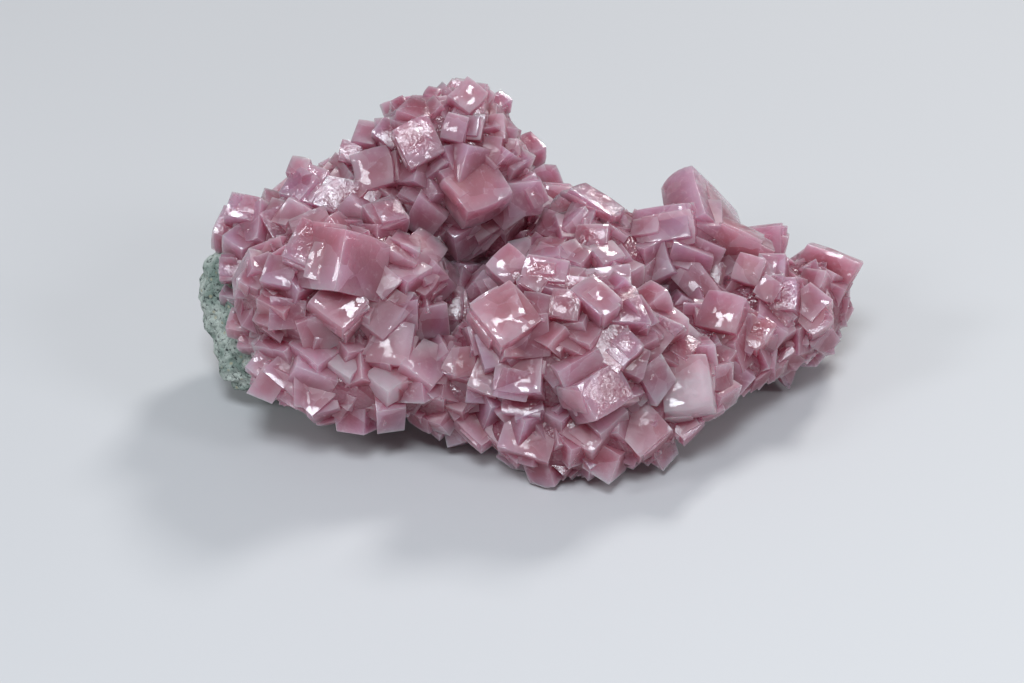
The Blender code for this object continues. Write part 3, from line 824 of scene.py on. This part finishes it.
@dataclass(frozen=True)
class CrystalFinish:
    """Clear to milky pink crystal with fine relief: shade is painted at its root, in crevices and in the
    middle of its faces, and highlight along its edges.
    """

    rose: Colour = (0.55, 0.21, 0.25, 1.0)
    lilac: Colour = (0.44, 0.21, 0.33, 1.0)
    # Darker red: the crystals' own darker planes, and also painted shade at the roots, in crevices and in
    # the middles of faces.
    wine_and_painted_shade: Colour = (0.30, 0.05, 0.08, 1.0)
    # Milky pink: the crystals' own veils, planes, cracks and milky faces, and also the painted highlight
    # along edges.
    milk_and_edge_highlight: Colour = (0.70, 0.49, 0.57, 1.0)
    pale: Colour = (0.58, 0.42, 0.47, 1.0)

    # Noise and planes, with their steps per millimetre.
    drift: Grain = Grain(0.09)
    cloud: Grain = Grain(0.4, 4.0, 0.6)
    veil: Grain = Grain(1.1, 5.0, 0.7)
    swirl: Grain = Grain(0.5, 1.0)
    swirl_mm: float = 0.8
    planes_per_mm: float = 0.34

    # Where each layer of the colour lies, and how strong it is.
    tone_in_hue: float = 0.6
    rosy: Share = Share(0.5, 1.1)
    # Painted shade: darker red laid toward each crystal's buried root, in patches, strongest where the
    # cloud noise is low.
    root: Share = Share(-1.6, 1.4)
    painted_root_shade: Share = Share(0.75, 0.35, 0.85)
    # Painted shade: darker red laid where the surface stands low over the lumps, in the crevices between
    # crystals.
    standing_low: Share = Share(2.1, 0.5)
    painted_crevice_shade: float = 0.65
    face_milk: Share = Share(0.3, 1.0, 0.2)
    dark_plane: Share = Share(0.3, 0.95, 0.42)
    pale_plane: Share = Share(0.4, 1.0, 0.35)
    crack: Share = Share(0.03, 0.0, 0.5)
    cracked: Share = Share(0.45, 0.65)
    veiled: Share = Share(0.52, 0.75, 0.35)
    # Painted shade: darker red toward the middle of each face, away from its edges.
    painted_centre_shade: Share = Share(0.75, 0.1, 0.3)
    # Painted highlight: milky pink near each crystal's edges, and a thin pale line right on them.
    edge: Share = Share(0.4, 1.0, 0.16)
    painted_arris_highlight: Share = Share(0.93, 1.0, 0.1)
    milky_tone: Share = Share(1.2, 1.5)
    milky_height: Share = Share(1.1, 0.6, 0.9)
    streaks: float = 1.2

    # Relief: which faces are hammered, how high everything stands, and how the flakes lean.
    draws_per_tone: float = 89.0
    face_rim: float = 0.999
    hammered_draw: Share = Share(0.70, 0.72)
    dimples: Grain = Grain(2.4, 3.0, 0.6)
    dimple_height: float = 0.35
    facets_per_mm: float = 2.6
    facet_height: float = 0.12
    steps_per_mm: float = 0.8
    step_height: float = 0.35
    same_tone: float = 0.004
    bump_strength: float = 0.4
    bump_mm: float = 0.4
    flakes_per_mm: float = 0.75
    flake_lean: float = 0.45

    # Shine and light inside.
    roughness: float = 0.3
    cloudy_roughness: float = 0.3
    hammered_polish: float = 0.25
    coat: float = 0.7
    hammered_coat: float = 0.3
    crevice_dulling: float = 0.85
    coat_roughness: float = 0.07
    coat_ior: float = 1.6
    ior: float = 1.62
    specular: float = 0.35
    transmission: float = 0.3
    glow_radius_mm: Tuple[float, float, float] = (9.0, 5.0, 6.0)

    def tint(self, sheet: CrystalNodes) -> Socket:
        """Adds the colour: between lilac and rose, with layers of darker red and milky pink over it, partly
        the crystals' own and partly painted shade and painted highlight.

        Args:
            sheet: the nodes to add to.

        Returns:
            The colour.
        """
        steady = sheet.times(sheet.math("MINIMUM", sheet.tone, 1.0), self.tone_in_hue)
        hue = sheet.share(sheet.plus(steady, sheet.noise(sheet.place, self.drift)), self.rosy)
        root = sheet.share(sheet.plus(*sheet.axes), self.root)
        veil = sheet.noise(sheet.place, self.veil)

        # Planes inside the crystals: crisp cells of lighter and darker colour, and thin pale cracks.
        drawn = sheet.cells(sheet.swirled, self.planes_per_mm, "Color")
        planes = sheet.add("SeparateColor", in_Color=drawn).outputs
        seams = sheet.cells(sheet.swirled, self.planes_per_mm, feature="DISTANCE_TO_EDGE")
        crack = sheet.times(sheet.share(seams, self.crack), sheet.share(veil, self.cracked))

        # The milky crystals are pale below and streaked with the rest's colour above.
        height = sheet.plus(sheet.axes[0], sheet.times(sheet.cloud, self.streaks))
        # Shares of the painted highlight along the edges.
        edges = [sheet.share(sheet.near_edge, share) for share in (self.edge, self.painted_arris_highlight)]
        layers = (
            # Painted shade toward each crystal's buried root.
            (sheet.times(root, sheet.share(sheet.cloud, self.painted_root_shade)), self.wine_and_painted_shade),
            # Painted shade in the crevices.
            (sheet.times(sheet.crevice, self.painted_crevice_shade), self.wine_and_painted_shade),
            (sheet.share(sheet.draws[1], self.face_milk), self.milk_and_edge_highlight),
            (sheet.share(planes[0], self.dark_plane), self.wine_and_painted_shade),
            (sheet.share(planes[1], self.pale_plane), self.milk_and_edge_highlight),
            (crack, self.milk_and_edge_highlight),
            (sheet.share(veil, self.veiled), self.milk_and_edge_highlight),
            # Painted shade toward the middles of faces.
            (sheet.share(sheet.near_edge, self.painted_centre_shade), self.wine_and_painted_shade),
            # Painted highlight along the edges.
            (sheet.plus(*edges), self.milk_and_edge_highlight),
            (sheet.times(sheet.milky, sheet.share(height, self.milky_height)), self.pale),
        )
        tint = sheet.blend(hue, self.lilac, self.rose)
        for share, colour in layers:
            tint = sheet.blend(share, tint, colour)
        return tint

    def normals(self, sheet: CrystalNodes) -> Tuple[Socket, Socket]:
        """Adds the fine relief.

        Some faces are hammered with small facets, and the rest are almost smooth. What shows of the
        lumps themselves is covered with tiny facets. Small planes just under the surface each lean
        the coat their own way, so some of them flash.

        Args:
            sheet: the nodes to add to.

        Returns:
            The surface's normal and its coat's.
        """
        facets = sheet.cells(sheet.swirled, self.facets_per_mm, distance="CHEBYCHEV")
        dimples = sheet.times(sheet.noise(sheet.place, self.dimples), self.dimple_height)
        hammering = sheet.plus(dimples, sheet.times(facets, self.facet_height))
        other_tone = sheet.chain("Math", "ABSOLUTE", sheet.math("SUBTRACT", sheet.tone, Growth.LUMP.value))
        bare = sheet.math("LESS_THAN", other_tone, self.same_tone)
        ruffled = sheet.plus(sheet.times(sheet.hammered, hammering), sheet.times(bare, facets))
        steps = sheet.cells(sheet.swirled, self.steps_per_mm, distance="CHEBYCHEV")
        stepped = sheet.plus(sheet.times(steps, self.step_height), ruffled)
        surface = sheet.bump(stepped, self.bump_strength, self.bump_mm)

        flakes = sheet.cells(sheet.swirled, self.flakes_per_mm, "Color", distance="MANHATTAN")
        spread, offset = (self.flake_lean,) * 3, (-self.flake_lean / 2.0,) * 3
        lean = sheet.chain("VectorMath", "MULTIPLY_ADD", flakes, spread, offset)
        foil = sheet.bump(ruffled, self.bump_strength, self.bump_mm)
        leaning = sheet.chain("VectorMath", "ADD", foil, lean)
        return surface, sheet.chain("VectorMath", "NORMALIZE", leaning)

    def material(self) -> bpy.types.Material:
        """Returns the material."""
        sheet = CrystalNodes("smithsonite crystal", self)
        surface, coat_surface = self.normals(sheet)
        rough = sheet.plus(sheet.times(sheet.cloud, self.cloudy_roughness), self.roughness)
        exposed = sheet.math("SUBTRACT", 1.0, sheet.times(sheet.crevice, self.crevice_dulling))
        coat = sheet.plus(sheet.times(sheet.hammered, self.hammered_coat), self.coat)
        return sheet.shade(
            Base_Color=self.tint(sheet),
            Roughness=sheet.math("SUBTRACT", rough, sheet.times(sheet.hammered, self.hammered_polish)),
            Normal=surface,
            Coat_Weight=sheet.times(coat, exposed),
            Coat_Roughness=self.coat_roughness,
            Coat_IOR=self.coat_ior,
            Coat_Normal=coat_surface,
            IOR=self.ior,
            Specular_IOR_Level=self.specular,
            Transmission_Weight=self.transmission,
            Subsurface_Weight=1.0,
            Subsurface_Radius=self.glow_radius_mm,
            Subsurface_Scale=MM,
        )


@dataclass(frozen=True)
class RockFinish:
    """Porous greenish-grey host rock, with painted shade in its pits and yellowish spots."""

    green: Colour = (0.20, 0.27, 0.23, 1.0)
    pale: Colour = (0.58, 0.64, 0.58, 1.0)
    # Near black, painted as shade in the pits.
    pit_shade: Colour = (0.03, 0.04, 0.04, 1.0)
    ochre: Colour = (0.48, 0.42, 0.26, 1.0)
    patches: Grain = Grain(0.35, 4.0, 0.6)
    grit: Grain = Grain(2.2, 4.0, 0.7)
    spots_per_mm: float = 0.9
    patched: Share = Share(0.35, 0.65)
    pit_shade_share: Share = Share(0.5, 0.32)
    spotted: Share = Share(0.22, 0.08, 0.6)
    patch_height: float = 0.5
    bump_strength: float = 0.9
    bump_mm: float = 0.6
    roughness: float = 0.85

    def material(self) -> bpy.types.Material:
        """Returns the material."""
        sheet = Nodes("host rock")
        place = sheet.place_in_mm()
        patches, grit = sheet.noise(place, self.patches), sheet.noise(place, self.grit)
        colour = sheet.blend(sheet.share(patches, self.patched), self.green, self.pale)
        # Painted shade: near black where the grit noise is low, in the dips of the bump.
        colour = sheet.blend(sheet.share(grit, self.pit_shade_share), colour, self.pit_shade)
        spots = sheet.share(sheet.cells(place, self.spots_per_mm), self.spotted)
        colour = sheet.blend(spots, colour, self.ochre)
        height = sheet.plus(sheet.times(patches, self.patch_height), grit)
        normal = sheet.bump(height, self.bump_strength, self.bump_mm)
        return sheet.shade(Base_Color=colour, Roughness=self.roughness, Normal=normal)


# Sub-assemblies -------------------------------------------------------------------------------


class Cover(NamedTuple):
    """Which places on the lumps are open: how low they may lie and what hides them.

    Another lump hides what lies within it at the scale overlap, the rock likewise at the scale
    rock, and a crystal hides what lies within it past a share of its edges.
    """

    lowest: float
    overlap: float
    rock: float
    share: float


class Filler(NamedTuple):
    """How far apart fillers stand, how long their edges are, and how far out they are lifted."""

    spacing: float
    sizes: Range
    lifts: Range


@dataclass
class CrystalCrust:
    """The pink crust: placed crystals, fillers, companions and druse on the lumps, in one solid."""

    floor: float = 0.35
    lump_steps: Tuple[int, int] = (36, 24)
    least_cosine: float = 0.02
    large_edge: float = 3.6
    sharp_angle: float = math.radians(32.0)
    stretch: Range = (0.85, 1.15)

    # Fillers, smaller and closer together on the display side.
    filler_cover: Cover = Cover(2.2, 0.97, 1.1, 0.0)
    filler_candidate_area: float = 2.2
    display_filler: Filler = Filler(4.9, (2.6, 3.6), (0.1, 0.3))
    back_filler: Filler = Filler(6.3, (4.2, 5.8), (0.25, 0.45))
    display_limit: float = 0.3
    filler_share: float = 0.65
    filler_angle: float = math.radians(102.0)
    filler_lean: float = 0.45

    # Companions, most of which look like steps on a larger crystal, while the rest cross it.
    companion_counts: Tuple[int, int] = (1, 3)
    fewer_below: float = 3.3
    crossed_share: float = 0.25
    crossed_turn: float = 22.0
    crossed_scales: Range = (0.6, 0.8)
    step_turn: float = 11.0
    step_scales: Range = (0.5, 0.9)
    companion_shifts: Range = (-0.7, 0.9)
    companion_proud: float = 0.08

    # Druse, which stands further out on faces than along the rim of the outline.
    druse_cover: Cover = Cover(0.9, 0.985, 1.04, 0.06)
    druse_candidates_per_mm2: float = 0.9
    druse_sizes: Range = (2.7, 5.6)
    druse_spacing: float = 0.48
    druse_angles: Range = (84.0, 103.0)
    druse_lean: float = 0.42
    druse_stretch: Range = (0.8, 1.25)
    druse_lifts: Range = (0.12, 0.36)
    druse_raise: float = 0.4
    facing_slope: float = 1.6
    facing_start: float = 0.4
    rim_share: float = 0.6
    rim_height: float = 0.6
    face_height: float = 2.4

    lumps: List[Lump] = field(default_factory=lambda: list(CRUST_LUMPS.values()))
    rock: List[Lump] = field(default_factory=lambda: list(ROCK_LUMPS.values()))

    def seat(self, across: float, upward: float) -> Tuple[np.ndarray, float]:
        """Finds the lumps behind a place on the display side.

        Args:
            across: the place's distance from the middle along +X.
            upward: its distance up the display side.

        Returns:
            The sight line to the place, and how far along it the lumps lie.
        """
        sight = ALONG * DISTANCE + ACROSS * across + UPWARD * upward
        sight = sight / np.linalg.norm(sight)
        centres = np.array([lump[0] for lump in self.lumps])
        axes = np.array([lump[1] for lump in self.lumps])
        start, step = (EYE - centres) / axes, sight / axes
        square = np.sum(step * step, axis=1)
        nearest = -np.sum(start * step, axis=1) / square
        clearance = np.sum((start + step * nearest[:, None]) ** 2, axis=1)
        hits = clearance < 1.0
        if np.any(hits):
            return sight, float(np.min(nearest[hits] - np.sqrt((1.0 - clearance[hits]) / square[hits])))
        return sight, float(nearest[np.argmin(clearance)])

    def placed_crystal(self, row: Tuple, kind: Growth) -> Crystal:
        """Works out a larger crystal.

        The edges are at right angles to each other, so the squares of their depths follow from the
        cosines between their directions: depth^2 / (1 - depth^2) = -cos ij * cos ik / cos jk.

        Args:
            row: the crystal's place, its lift and its three edges as seen.
            kind: its kind.

        Returns:
            The crystal.
        """
        across, upward, lift, degrees, lengths = row
        sight, distance = self.seat(across, upward)
        right = np.cross(sight, (0.0, 0.0, 1.0))
        right = right / np.linalg.norm(right)
        above = np.cross(right, sight)
        turns = np.radians(np.array(degrees, dtype=float))
        cosines = [min(math.cos(turns[i] - turns[(i + 1) % 3]), -self.least_cosine) for i in range(3)]
        edges = np.zeros((3, 3))
        for i, length in enumerate(np.broadcast_to(lengths, 3)):
            ratio = -cosines[i] * cosines[(i + 2) % 3] / cosines[(i + 1) % 3]
            depth = math.sqrt(ratio / (1.0 + ratio))
            flat = right * math.cos(turns[i]) + above * math.sin(turns[i])
            edges[i] = (flat * math.sqrt(1.0 - depth * depth) + sight * depth) * length
        return Crystal(EYE + sight * (distance - lift), edges, kind)

    def open_places(
        self, index: int, count: int, cover: Cover, crystals: Sequence[Crystal]
    ) -> Tuple[np.ndarray, np.ndarray]:
        """Finds where a crystal can stand on a lump.

        Args:
            index: the lump's number.
            count: how many places to try, spread over the lump.
            cover: says which places are open.
            crystals: the larger crystals, which hide what lies in them.

        Returns:
            The open places and the outward directions there, not yet of length 1.
        """
        centre, axes = (np.array(part) for part in self.lumps[index])
        others = self.lumps[:index] + self.lumps[index + 1:]
        balls = ball_points(count)
        places = centre + balls * axes
        free = (places[:, 2] > cover.lowest) & ~inside_lumps(places, others, cover.overlap)
        free &= ~inside_lumps(places, self.rock, cover.rock)
        free &= ~inside_crystals(places, crystals, cover.share)
        return places[free], (balls / axes)[free]

    def outward_crystal(
        self, rng: random.Random, point: Vector, normal: Vector, size: float, lift: float
    ) -> Crystal:
        """Makes a filler rhombohedron that stands out of the crust.

        Args:
            rng: picks its lean, its turn and its edges' lengths.
            point: the place on a lump.
            normal: the outward direction there.
            size: its edges' length, before each is stretched.
            lift: how far its corner is lifted, as a share of the size.

        Returns:
            The crystal.
        """
        rise = edge_rise(self.filler_angle)
        lean = Vector([rng.gauss(0.0, self.filler_lean) for _ in range(3)])
        axis = -(normal + lean).normalized()
        aside = axis.orthogonal().normalized()
        aside.rotate(Matrix.Rotation(rng.uniform(0.0, math.tau), 3, axis))
        edges = []
        for third in range(3):
            around = aside.copy()
            around.rotate(Matrix.Rotation(math.tau * third / 3.0, 3, axis))
            edges.append((around + axis * rise).normalized() * size * rng.uniform(*self.stretch))
        return Crystal(np.array(point + normal * size * lift), np.array(edges), Growth.FILLER)

    def fillers(self, placed: Sequence[Crystal]) -> List[Crystal]:
        """Covers the lumps wherever no placed crystal does.

        Args:
            placed: the placed crystals.

        Returns:
            The fillers.
        """
        rng = random.Random(SEED)
        found, taken = [], [Vector(c.corner) for c in placed]
        for index, (_, axes) in enumerate(self.lumps):
            count = int(lump_area(axes) / self.filler_candidate_area)
            for place, outward in zip(*self.open_places(index, count, self.filler_cover, placed)):
                point, normal = Vector(place), Vector(outward).normalized()
                on_display_side = normal.dot(Vector(ALONG)) < self.display_limit
                filler = self.display_filler if on_display_side else self.back_filler
                if any((point - other).length < filler.spacing for other in taken):
                    continue
                taken.append(point)
                size = min(rng.uniform(*filler.sizes), self.filler_share * min(axes))
                found.append(self.outward_crystal(rng, point, normal, size, rng.uniform(*filler.lifts)))
        return found

    def druse(self, larger: Sequence[Crystal]) -> List[Crystal]:
        """Covers what is left of the lumps with small crystals.

        Args:
            larger: the placed crystals and the fillers.

        Returns:
            The druse.
        """
        rng = np.random.default_rng(SEED)
        open_places = []
        for index, (_, axes) in enumerate(self.lumps):
            count = int(lump_area(axes) * self.druse_candidates_per_mm2)
            open_places.append(self.open_places(index, count, self.druse_cover, larger))
        places, outward = (np.concatenate(parts) for parts in zip(*open_places))
        outward = outward / np.linalg.norm(outward, axis=1, keepdims=True)
        order = rng.permutation(len(places))
        facing = self.rim_share + (1.0 - self.rim_share) * np.abs(outward @ ALONG)
        sizes = rng.uniform(*self.druse_sizes, size=len(places)) * facing
        kept = np.zeros(len(places), dtype=bool)
        for index in order:
            near = np.linalg.norm(places[kept] - places[index], axis=1)
            kept[index] = not np.any(near < sizes[index] * self.druse_spacing)
        chosen = zip(places[kept], outward[kept], sizes[kept])
        return [self.small_crystal(rng, place, normal, size) for place, normal, size in chosen]

    def small_crystal(
        self, rng: np.random.Generator, place: np.ndarray, normal: np.ndarray, size: float
    ) -> Crystal:
        """Makes a druse rhombohedron whose corner points roughly outward.

        It may stand further out where the lump faces the display side, or turns its back on it,
        than along the outline. It is sunk until no corner stands out by more than it may.

        Args:
            rng: picks its shape, lean and turn.
            place: the place on a lump.
            normal: the outward direction there.
            size: its edges' length, before each is stretched.

        Returns:
            The crystal.
        """
        rise = edge_rise(math.radians(rng.uniform(*self.druse_angles)))
        axis = normal + rng.normal(0.0, self.druse_lean, size=3)
        axis = -axis / np.linalg.norm(axis)
        aside = np.cross(axis, rng.normal(size=3))
        aside = aside / np.linalg.norm(aside)
        turns = np.arange(3)[:, None] * (2.0 * math.pi / 3.0)
        edges = np.cos(turns) * aside + np.sin(turns) * np.cross(axis, aside) + axis * rise
        edges = edges / np.linalg.norm(edges, axis=1, keepdims=True) * size
        edges = edges * rng.uniform(*self.druse_stretch, size=(3, 1))
        facing = self.facing_slope * abs(float(normal @ ALONG)) - self.facing_start
        facing = min(max(facing, 0.0), 1.0)
        corner = place + normal * (size * rng.uniform(*self.druse_lifts) + self.druse_raise * facing)
        allowed = self.rim_height + (self.face_height - self.rim_height) * facing
        corners = corner + np.array(list(np.ndindex(2, 2, 2))) @ edges
        excess = float(np.max(self.height_above(corners))) - allowed
        return Crystal(corner - normal * max(excess, 0.0), edges, Growth.DRUSE)

    def height_above(self, points: np.ndarray) -> np.ndarray:
        """Measures how far points stand out of the lumps, along the line to a lump's centre.

        Args:
            points: an (n, 3) array of places.

        Returns:
            An (n,) array: each point's least height over any lump, below 0 inside one.
        """
        away = points[:, None, :] - np.array([lump[0] for lump in self.lumps])
        scaled = np.linalg.norm(away / np.array([lump[1] for lump in self.lumps]), axis=2)
        reach = np.linalg.norm(away, axis=2)
        return np.min(reach * (1.0 - 1.0 / np.maximum(scaled, 1e-6)), axis=1)

    def companion(self, crystal: Crystal, rng: np.random.Generator) -> Crystal:
        """Makes a smaller copy of a crystal that has grown on and into it.

        It is shifted along the larger one's edges so that one side stands just out of a face. Most
        are turned a little and look like steps, and the rest are turned further and cross it.

        Args:
            crystal: the larger crystal.
            rng: picks the copy's size, turn and shift.

        Returns:
            The companion.
        """
        crossed = rng.random() < self.crossed_share
        scale = rng.uniform(*(self.crossed_scales if crossed else self.step_scales))
        axis = rng.normal(size=3)
        degrees = rng.normal(0.0, self.crossed_turn if crossed else self.step_turn)
        turn = np.array(Matrix.Rotation(math.radians(degrees), 3, Vector(axis)))
        edges = crystal.edges @ turn.T * scale * rng.uniform(*self.stretch, size=(3, 1))
        middle = crystal.corner + np.sum(crystal.edges, axis=0) / 2.0
        side = rng.integers(3)
        shift = rng.uniform(*self.companion_shifts, size=3) * (1.0 - scale)
        shift[side] = -(1.0 - scale) / 2.0 - rng.uniform(0.0, self.companion_proud)
        middle = middle + shift @ crystal.edges
        kind = crystal.kind if crystal.kind is Growth.MILKY else Growth.COMPANION
        return Crystal(middle - np.sum(edges, axis=0) / 2.0, edges, kind)

    def companions(self, larger: Sequence[Crystal]) -> List[Crystal]:
        """Makes the larger crystals' companions, fewer on the shorter ones.

        Args:
            larger: the placed crystals and the fillers.

        Returns:
            The companions.
        """
        rng = np.random.default_rng(SEED + 1)
        found = []
        for crystal in larger:
            fewer = np.linalg.norm(crystal.edges, axis=1).max() < self.fewer_below
            least, most = (count - int(fewer) for count in self.companion_counts)
            for _ in range(rng.integers(least, most + 1)):
                found.append(self.companion(crystal, rng))
        return found

    def shells(self) -> List[Shell]:
        """Returns the closed surfaces of all lumps and crystals."""
        rng = np.random.default_rng(SEED + 2)
        kinds = [Growth.MILKY if region is MILKY else Growth.PLACED for region in REGIONS]
        placed = [self.placed_crystal(row, kind) for region, kind in zip(REGIONS, kinds) for row in region]
        fillers = self.fillers(placed)
        companions = self.companions(placed + fillers)
        druse = self.druse(placed + fillers)
        counts = (len(placed), len(fillers), len(companions), len(druse))
        LOG.info("crystals: %d placed, %d fillers, %d companions, %d druse", *counts)

        tone = Growth.LUMP.value
        found = [ball_shell(np.array(c), np.array(a), *self.lump_steps, tone) for c, a in self.lumps]
        large, medium, small = CubeLattice(6), CubeLattice(3), CubeLattice(1)
        bend = CurvedRhomb()
        for crystal in placed + fillers:
            size = np.linalg.norm(crystal.edges, axis=1).max()
            found.append(bend.shell(crystal, large if size > self.large_edge else medium, rng))
        found += [bend.shell(crystal, medium, rng) for crystal in companions]
        found += [bend.shell(crystal, small, rng) for crystal in druse]
        return found

    def build(self) -> bpy.types.Object:
        """Builds the crust, marks how far its points stand out of the lumps, and dresses it.

        Returns:
            The crust as one solid.
        """
        crust = joined("crystal_crust", self.shells(), self.floor)
        mesh = crust.data
        mesh.set_sharp_from_angle(angle=self.sharp_angle)
        places = np.empty(len(mesh.vertices) * 3, dtype=np.float32)
        mesh.vertices.foreach_get("co", places)
        # How far each point stands out of the lumps; the finish paints shade where it is low.
        standing = self.height_above(places.reshape(-1, 3) / MM + MIDDLE)
        mark = mesh.attributes.new("standing", "FLOAT", "POINT")
        mark.data.foreach_set("value", standing.astype(np.float32))
        mesh.materials.append(CrystalFinish().material())
        return crust


@dataclass
class HostRock:
    """The porous rock under the crust, showing at the left end and beneath."""

    roughness: float = 0.06
    steps: Tuple[int, int] = (190, 120)
    ridges: Tuple[Tuple[float, float, int], ...] = ((0.75, 2.3, 5), (0.34, 1.1, 6))
    grain: Tuple[float, float, int] = (0.10, 0.4, 7)
    sunk: float = 0.3
    pits: Tuple[float, float, int] = (1.4, 1.2, 8)
    pit_start: float = 0.2
    pit_most: float = 0.6
    lumps: List[Lump] = field(default_factory=lambda: list(ROCK_LUMPS.values()))

    def shell(self, centre: Sequence[float], axes: Sequence[float]) -> Shell:
        """Makes a rough lump.

        The unit ball's radius follows crossing sine waves, which give the solid's own shape. Its
        points are then pushed outward by noise of three sizes, and pushed in where a fourth noise
        is high, which makes pits. Each noise has a height, a cell and a seed.

        Args:
            centre: the lump's middle.
            axes: its half axes.

        Returns:
            The shell.
        """
        ball = ball_shell(np.zeros(3), np.ones(3), *self.steps, 0.0)
        x, y, z = ball.points.T
        wave = np.sin(5.1 * x + 2.0 * y + centre[0]) * np.sin(4.3 * y - 3.1 * z + centre[1])
        wave += 0.6 * np.sin(9.0 * z + 7.0 * x * y + centre[2]) * np.cos(8.0 * x - 5.0 * z)
        points = np.array(centre) + ball.points * (1.0 + self.roughness * wave)[:, None] * np.array(axes)
        outward = ball.points / np.array(axes)
        outward = outward / np.linalg.norm(outward, axis=1, keepdims=True)
        relief = sum(height * np.abs(lattice_noise(points, *spot)) for height, *spot in self.ridges)
        relief += self.grain[0] * lattice_noise(points, *self.grain[1:]) - self.sunk
        pits = lattice_noise(points, *self.pits[1:]) - self.pit_start
        relief -= self.pits[0] * np.clip(pits, 0.0, self.pit_most)
        return Shell(points + outward * relief[:, None], ball.faces, ball.local, 0.0)

    def build(self) -> bpy.types.Object:
        """Builds the rock and dresses it.

        Returns:
            The rock as one solid.
        """
        rock = joined("host_rock", [self.shell(*lump) for lump in self.lumps], 0.0)
        rock.data.materials.append(RockFinish().material())
        return rock


# Stage ----------------------------------------------------------------------------------------


@dataclass(frozen=True)
class SoftBox:
    """A square studio lamp that is aimed at the specimen. Lengths are in metres."""

    name: str
    azimuth: float
    elevation: float
    distance: float
    size: float
    power: float
    colour: Tuple[float, float, float] = (1.0, 1.0, 1.0)
    target: Tuple[float, float, float] = (0.0, 0.0, 0.012)

    def build(self) -> None:
        """Makes the lamp."""
        turn, rise = math.radians(self.azimuth), math.radians(self.elevation)
        level = math.cos(rise)
        away = Vector((level * math.sin(turn), -level * math.cos(turn), math.sin(rise)))
        data = bpy.data.lights.new(self.name, "AREA")
        data.energy, data.size, data.color = self.power, self.size, self.colour
        lamp = bpy.data.objects.new(self.name, data)
        lamp.location = away * self.distance + Vector(self.target)
        lamp.rotation_euler = away.to_track_quat("Z", "Y").to_euler()
        bpy.context.scene.collection.objects.link(lamp)


@dataclass
class Studio:
    """The pale table, the lamps and the camera. The table's lengths are in metres."""

    lens: float = 105.47
    sensor: float = 36.0
    near_clip: float = 0.01
    sky: Colour = (0.80, 0.81, 0.84, 1.0)
    sky_strength: float = 0.28
    half_table: float = 3.0
    table_drop: float = 0.00005
    table_colours: Tuple[Colour, Colour] = ((0.56, 0.56, 0.57, 1.0), (0.60, 0.60, 0.61, 1.0))
    table_mottling: Grain = Grain(6.0)
    table_roughness: float = 0.55
    lamps: Tuple[SoftBox, ...] = (
        SoftBox("key_lamp", -8.0, 58.0, 0.55, 0.16, 1.8, (0.86, 0.93, 1.0)),
        SoftBox("left_lamp", -65.0, 35.0, 0.60, 0.14, 0.8, (0.90, 0.95, 1.0)),
        SoftBox("right_lamp", 60.0, 35.0, 0.60, 0.14, 0.7, (0.90, 0.95, 1.0)),
        SoftBox("back_lamp", 150.0, 45.0, 0.60, 0.12, 1.5),
    )

    def table(self) -> None:
        """Builds the table."""
        ring = np.array(((-1.0, -1.0, 0.0), (1.0, -1.0, 0.0), (1.0, 1.0, 0.0), (-1.0, 1.0, 0.0)))
        corners = ring * self.half_table - (0.0, 0.0, self.table_drop)
        mesh = bpy.data.meshes.new("table")
        mesh.from_pydata(corners.tolist(), [], [(0, 1, 2, 3)])
        table = bpy.data.objects.new("table", mesh)
        bpy.context.scene.collection.objects.link(table)
        sheet = Nodes("pale table")
        mottling = sheet.noise(sheet.add("TexCoord").outputs["Object"], self.table_mottling)
        colour = sheet.blend(sheet.share(mottling, Share(0.0, 1.0)), *self.table_colours)
        mesh.materials.append(sheet.shade(Base_Color=colour, Roughness=self.table_roughness))

    def build(self) -> None:
        """Builds the stage and sets the scene's camera."""
        scene = bpy.context.scene
        self.table()
        for lamp in self.lamps:
            lamp.build()
        world = bpy.data.worlds.new("studio sky")
        world.use_nodes = True
        backdrop = world.node_tree.nodes["Background"]
        backdrop.inputs["Color"].default_value = self.sky
        backdrop.inputs["Strength"].default_value = self.sky_strength
        scene.world = world
        scene.view_settings.view_transform = "Standard"
        data = bpy.data.cameras.new("camera")
        data.lens, data.sensor_width, data.clip_start = self.lens, self.sensor, self.near_clip
        camera = bpy.data.objects.new("camera", data)
        camera.location = Vector((EYE - MIDDLE) * MM)
        camera.rotation_euler = (math.pi / 2.0 - TILT, 0.0, 0.0)
        scene.collection.objects.link(camera)
        scene.camera = camera


def main() -> None:
    """Builds the specimen and its stage."""
    logging.basicConfig(level=logging.INFO, format="%(message)s")
    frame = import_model()
    LOG.info("frame nodes: %s", ", ".join(sorted(frame["nodes"])))
    crust = CrystalCrust().build()
    rock = HostRock().build()
    for piece, node, slot in ((crust, "smithsonite_crust", "smithsonite"), (rock, "matrix_rock", "matrix")):
        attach(piece, "root")
        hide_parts(node)
        piece.data.calc_loop_triangles()
        LOG.info("%s: %d triangles", piece.name, len(piece.data.loop_triangles))
    Studio().build()


if __name__ == "__main__":
    main()
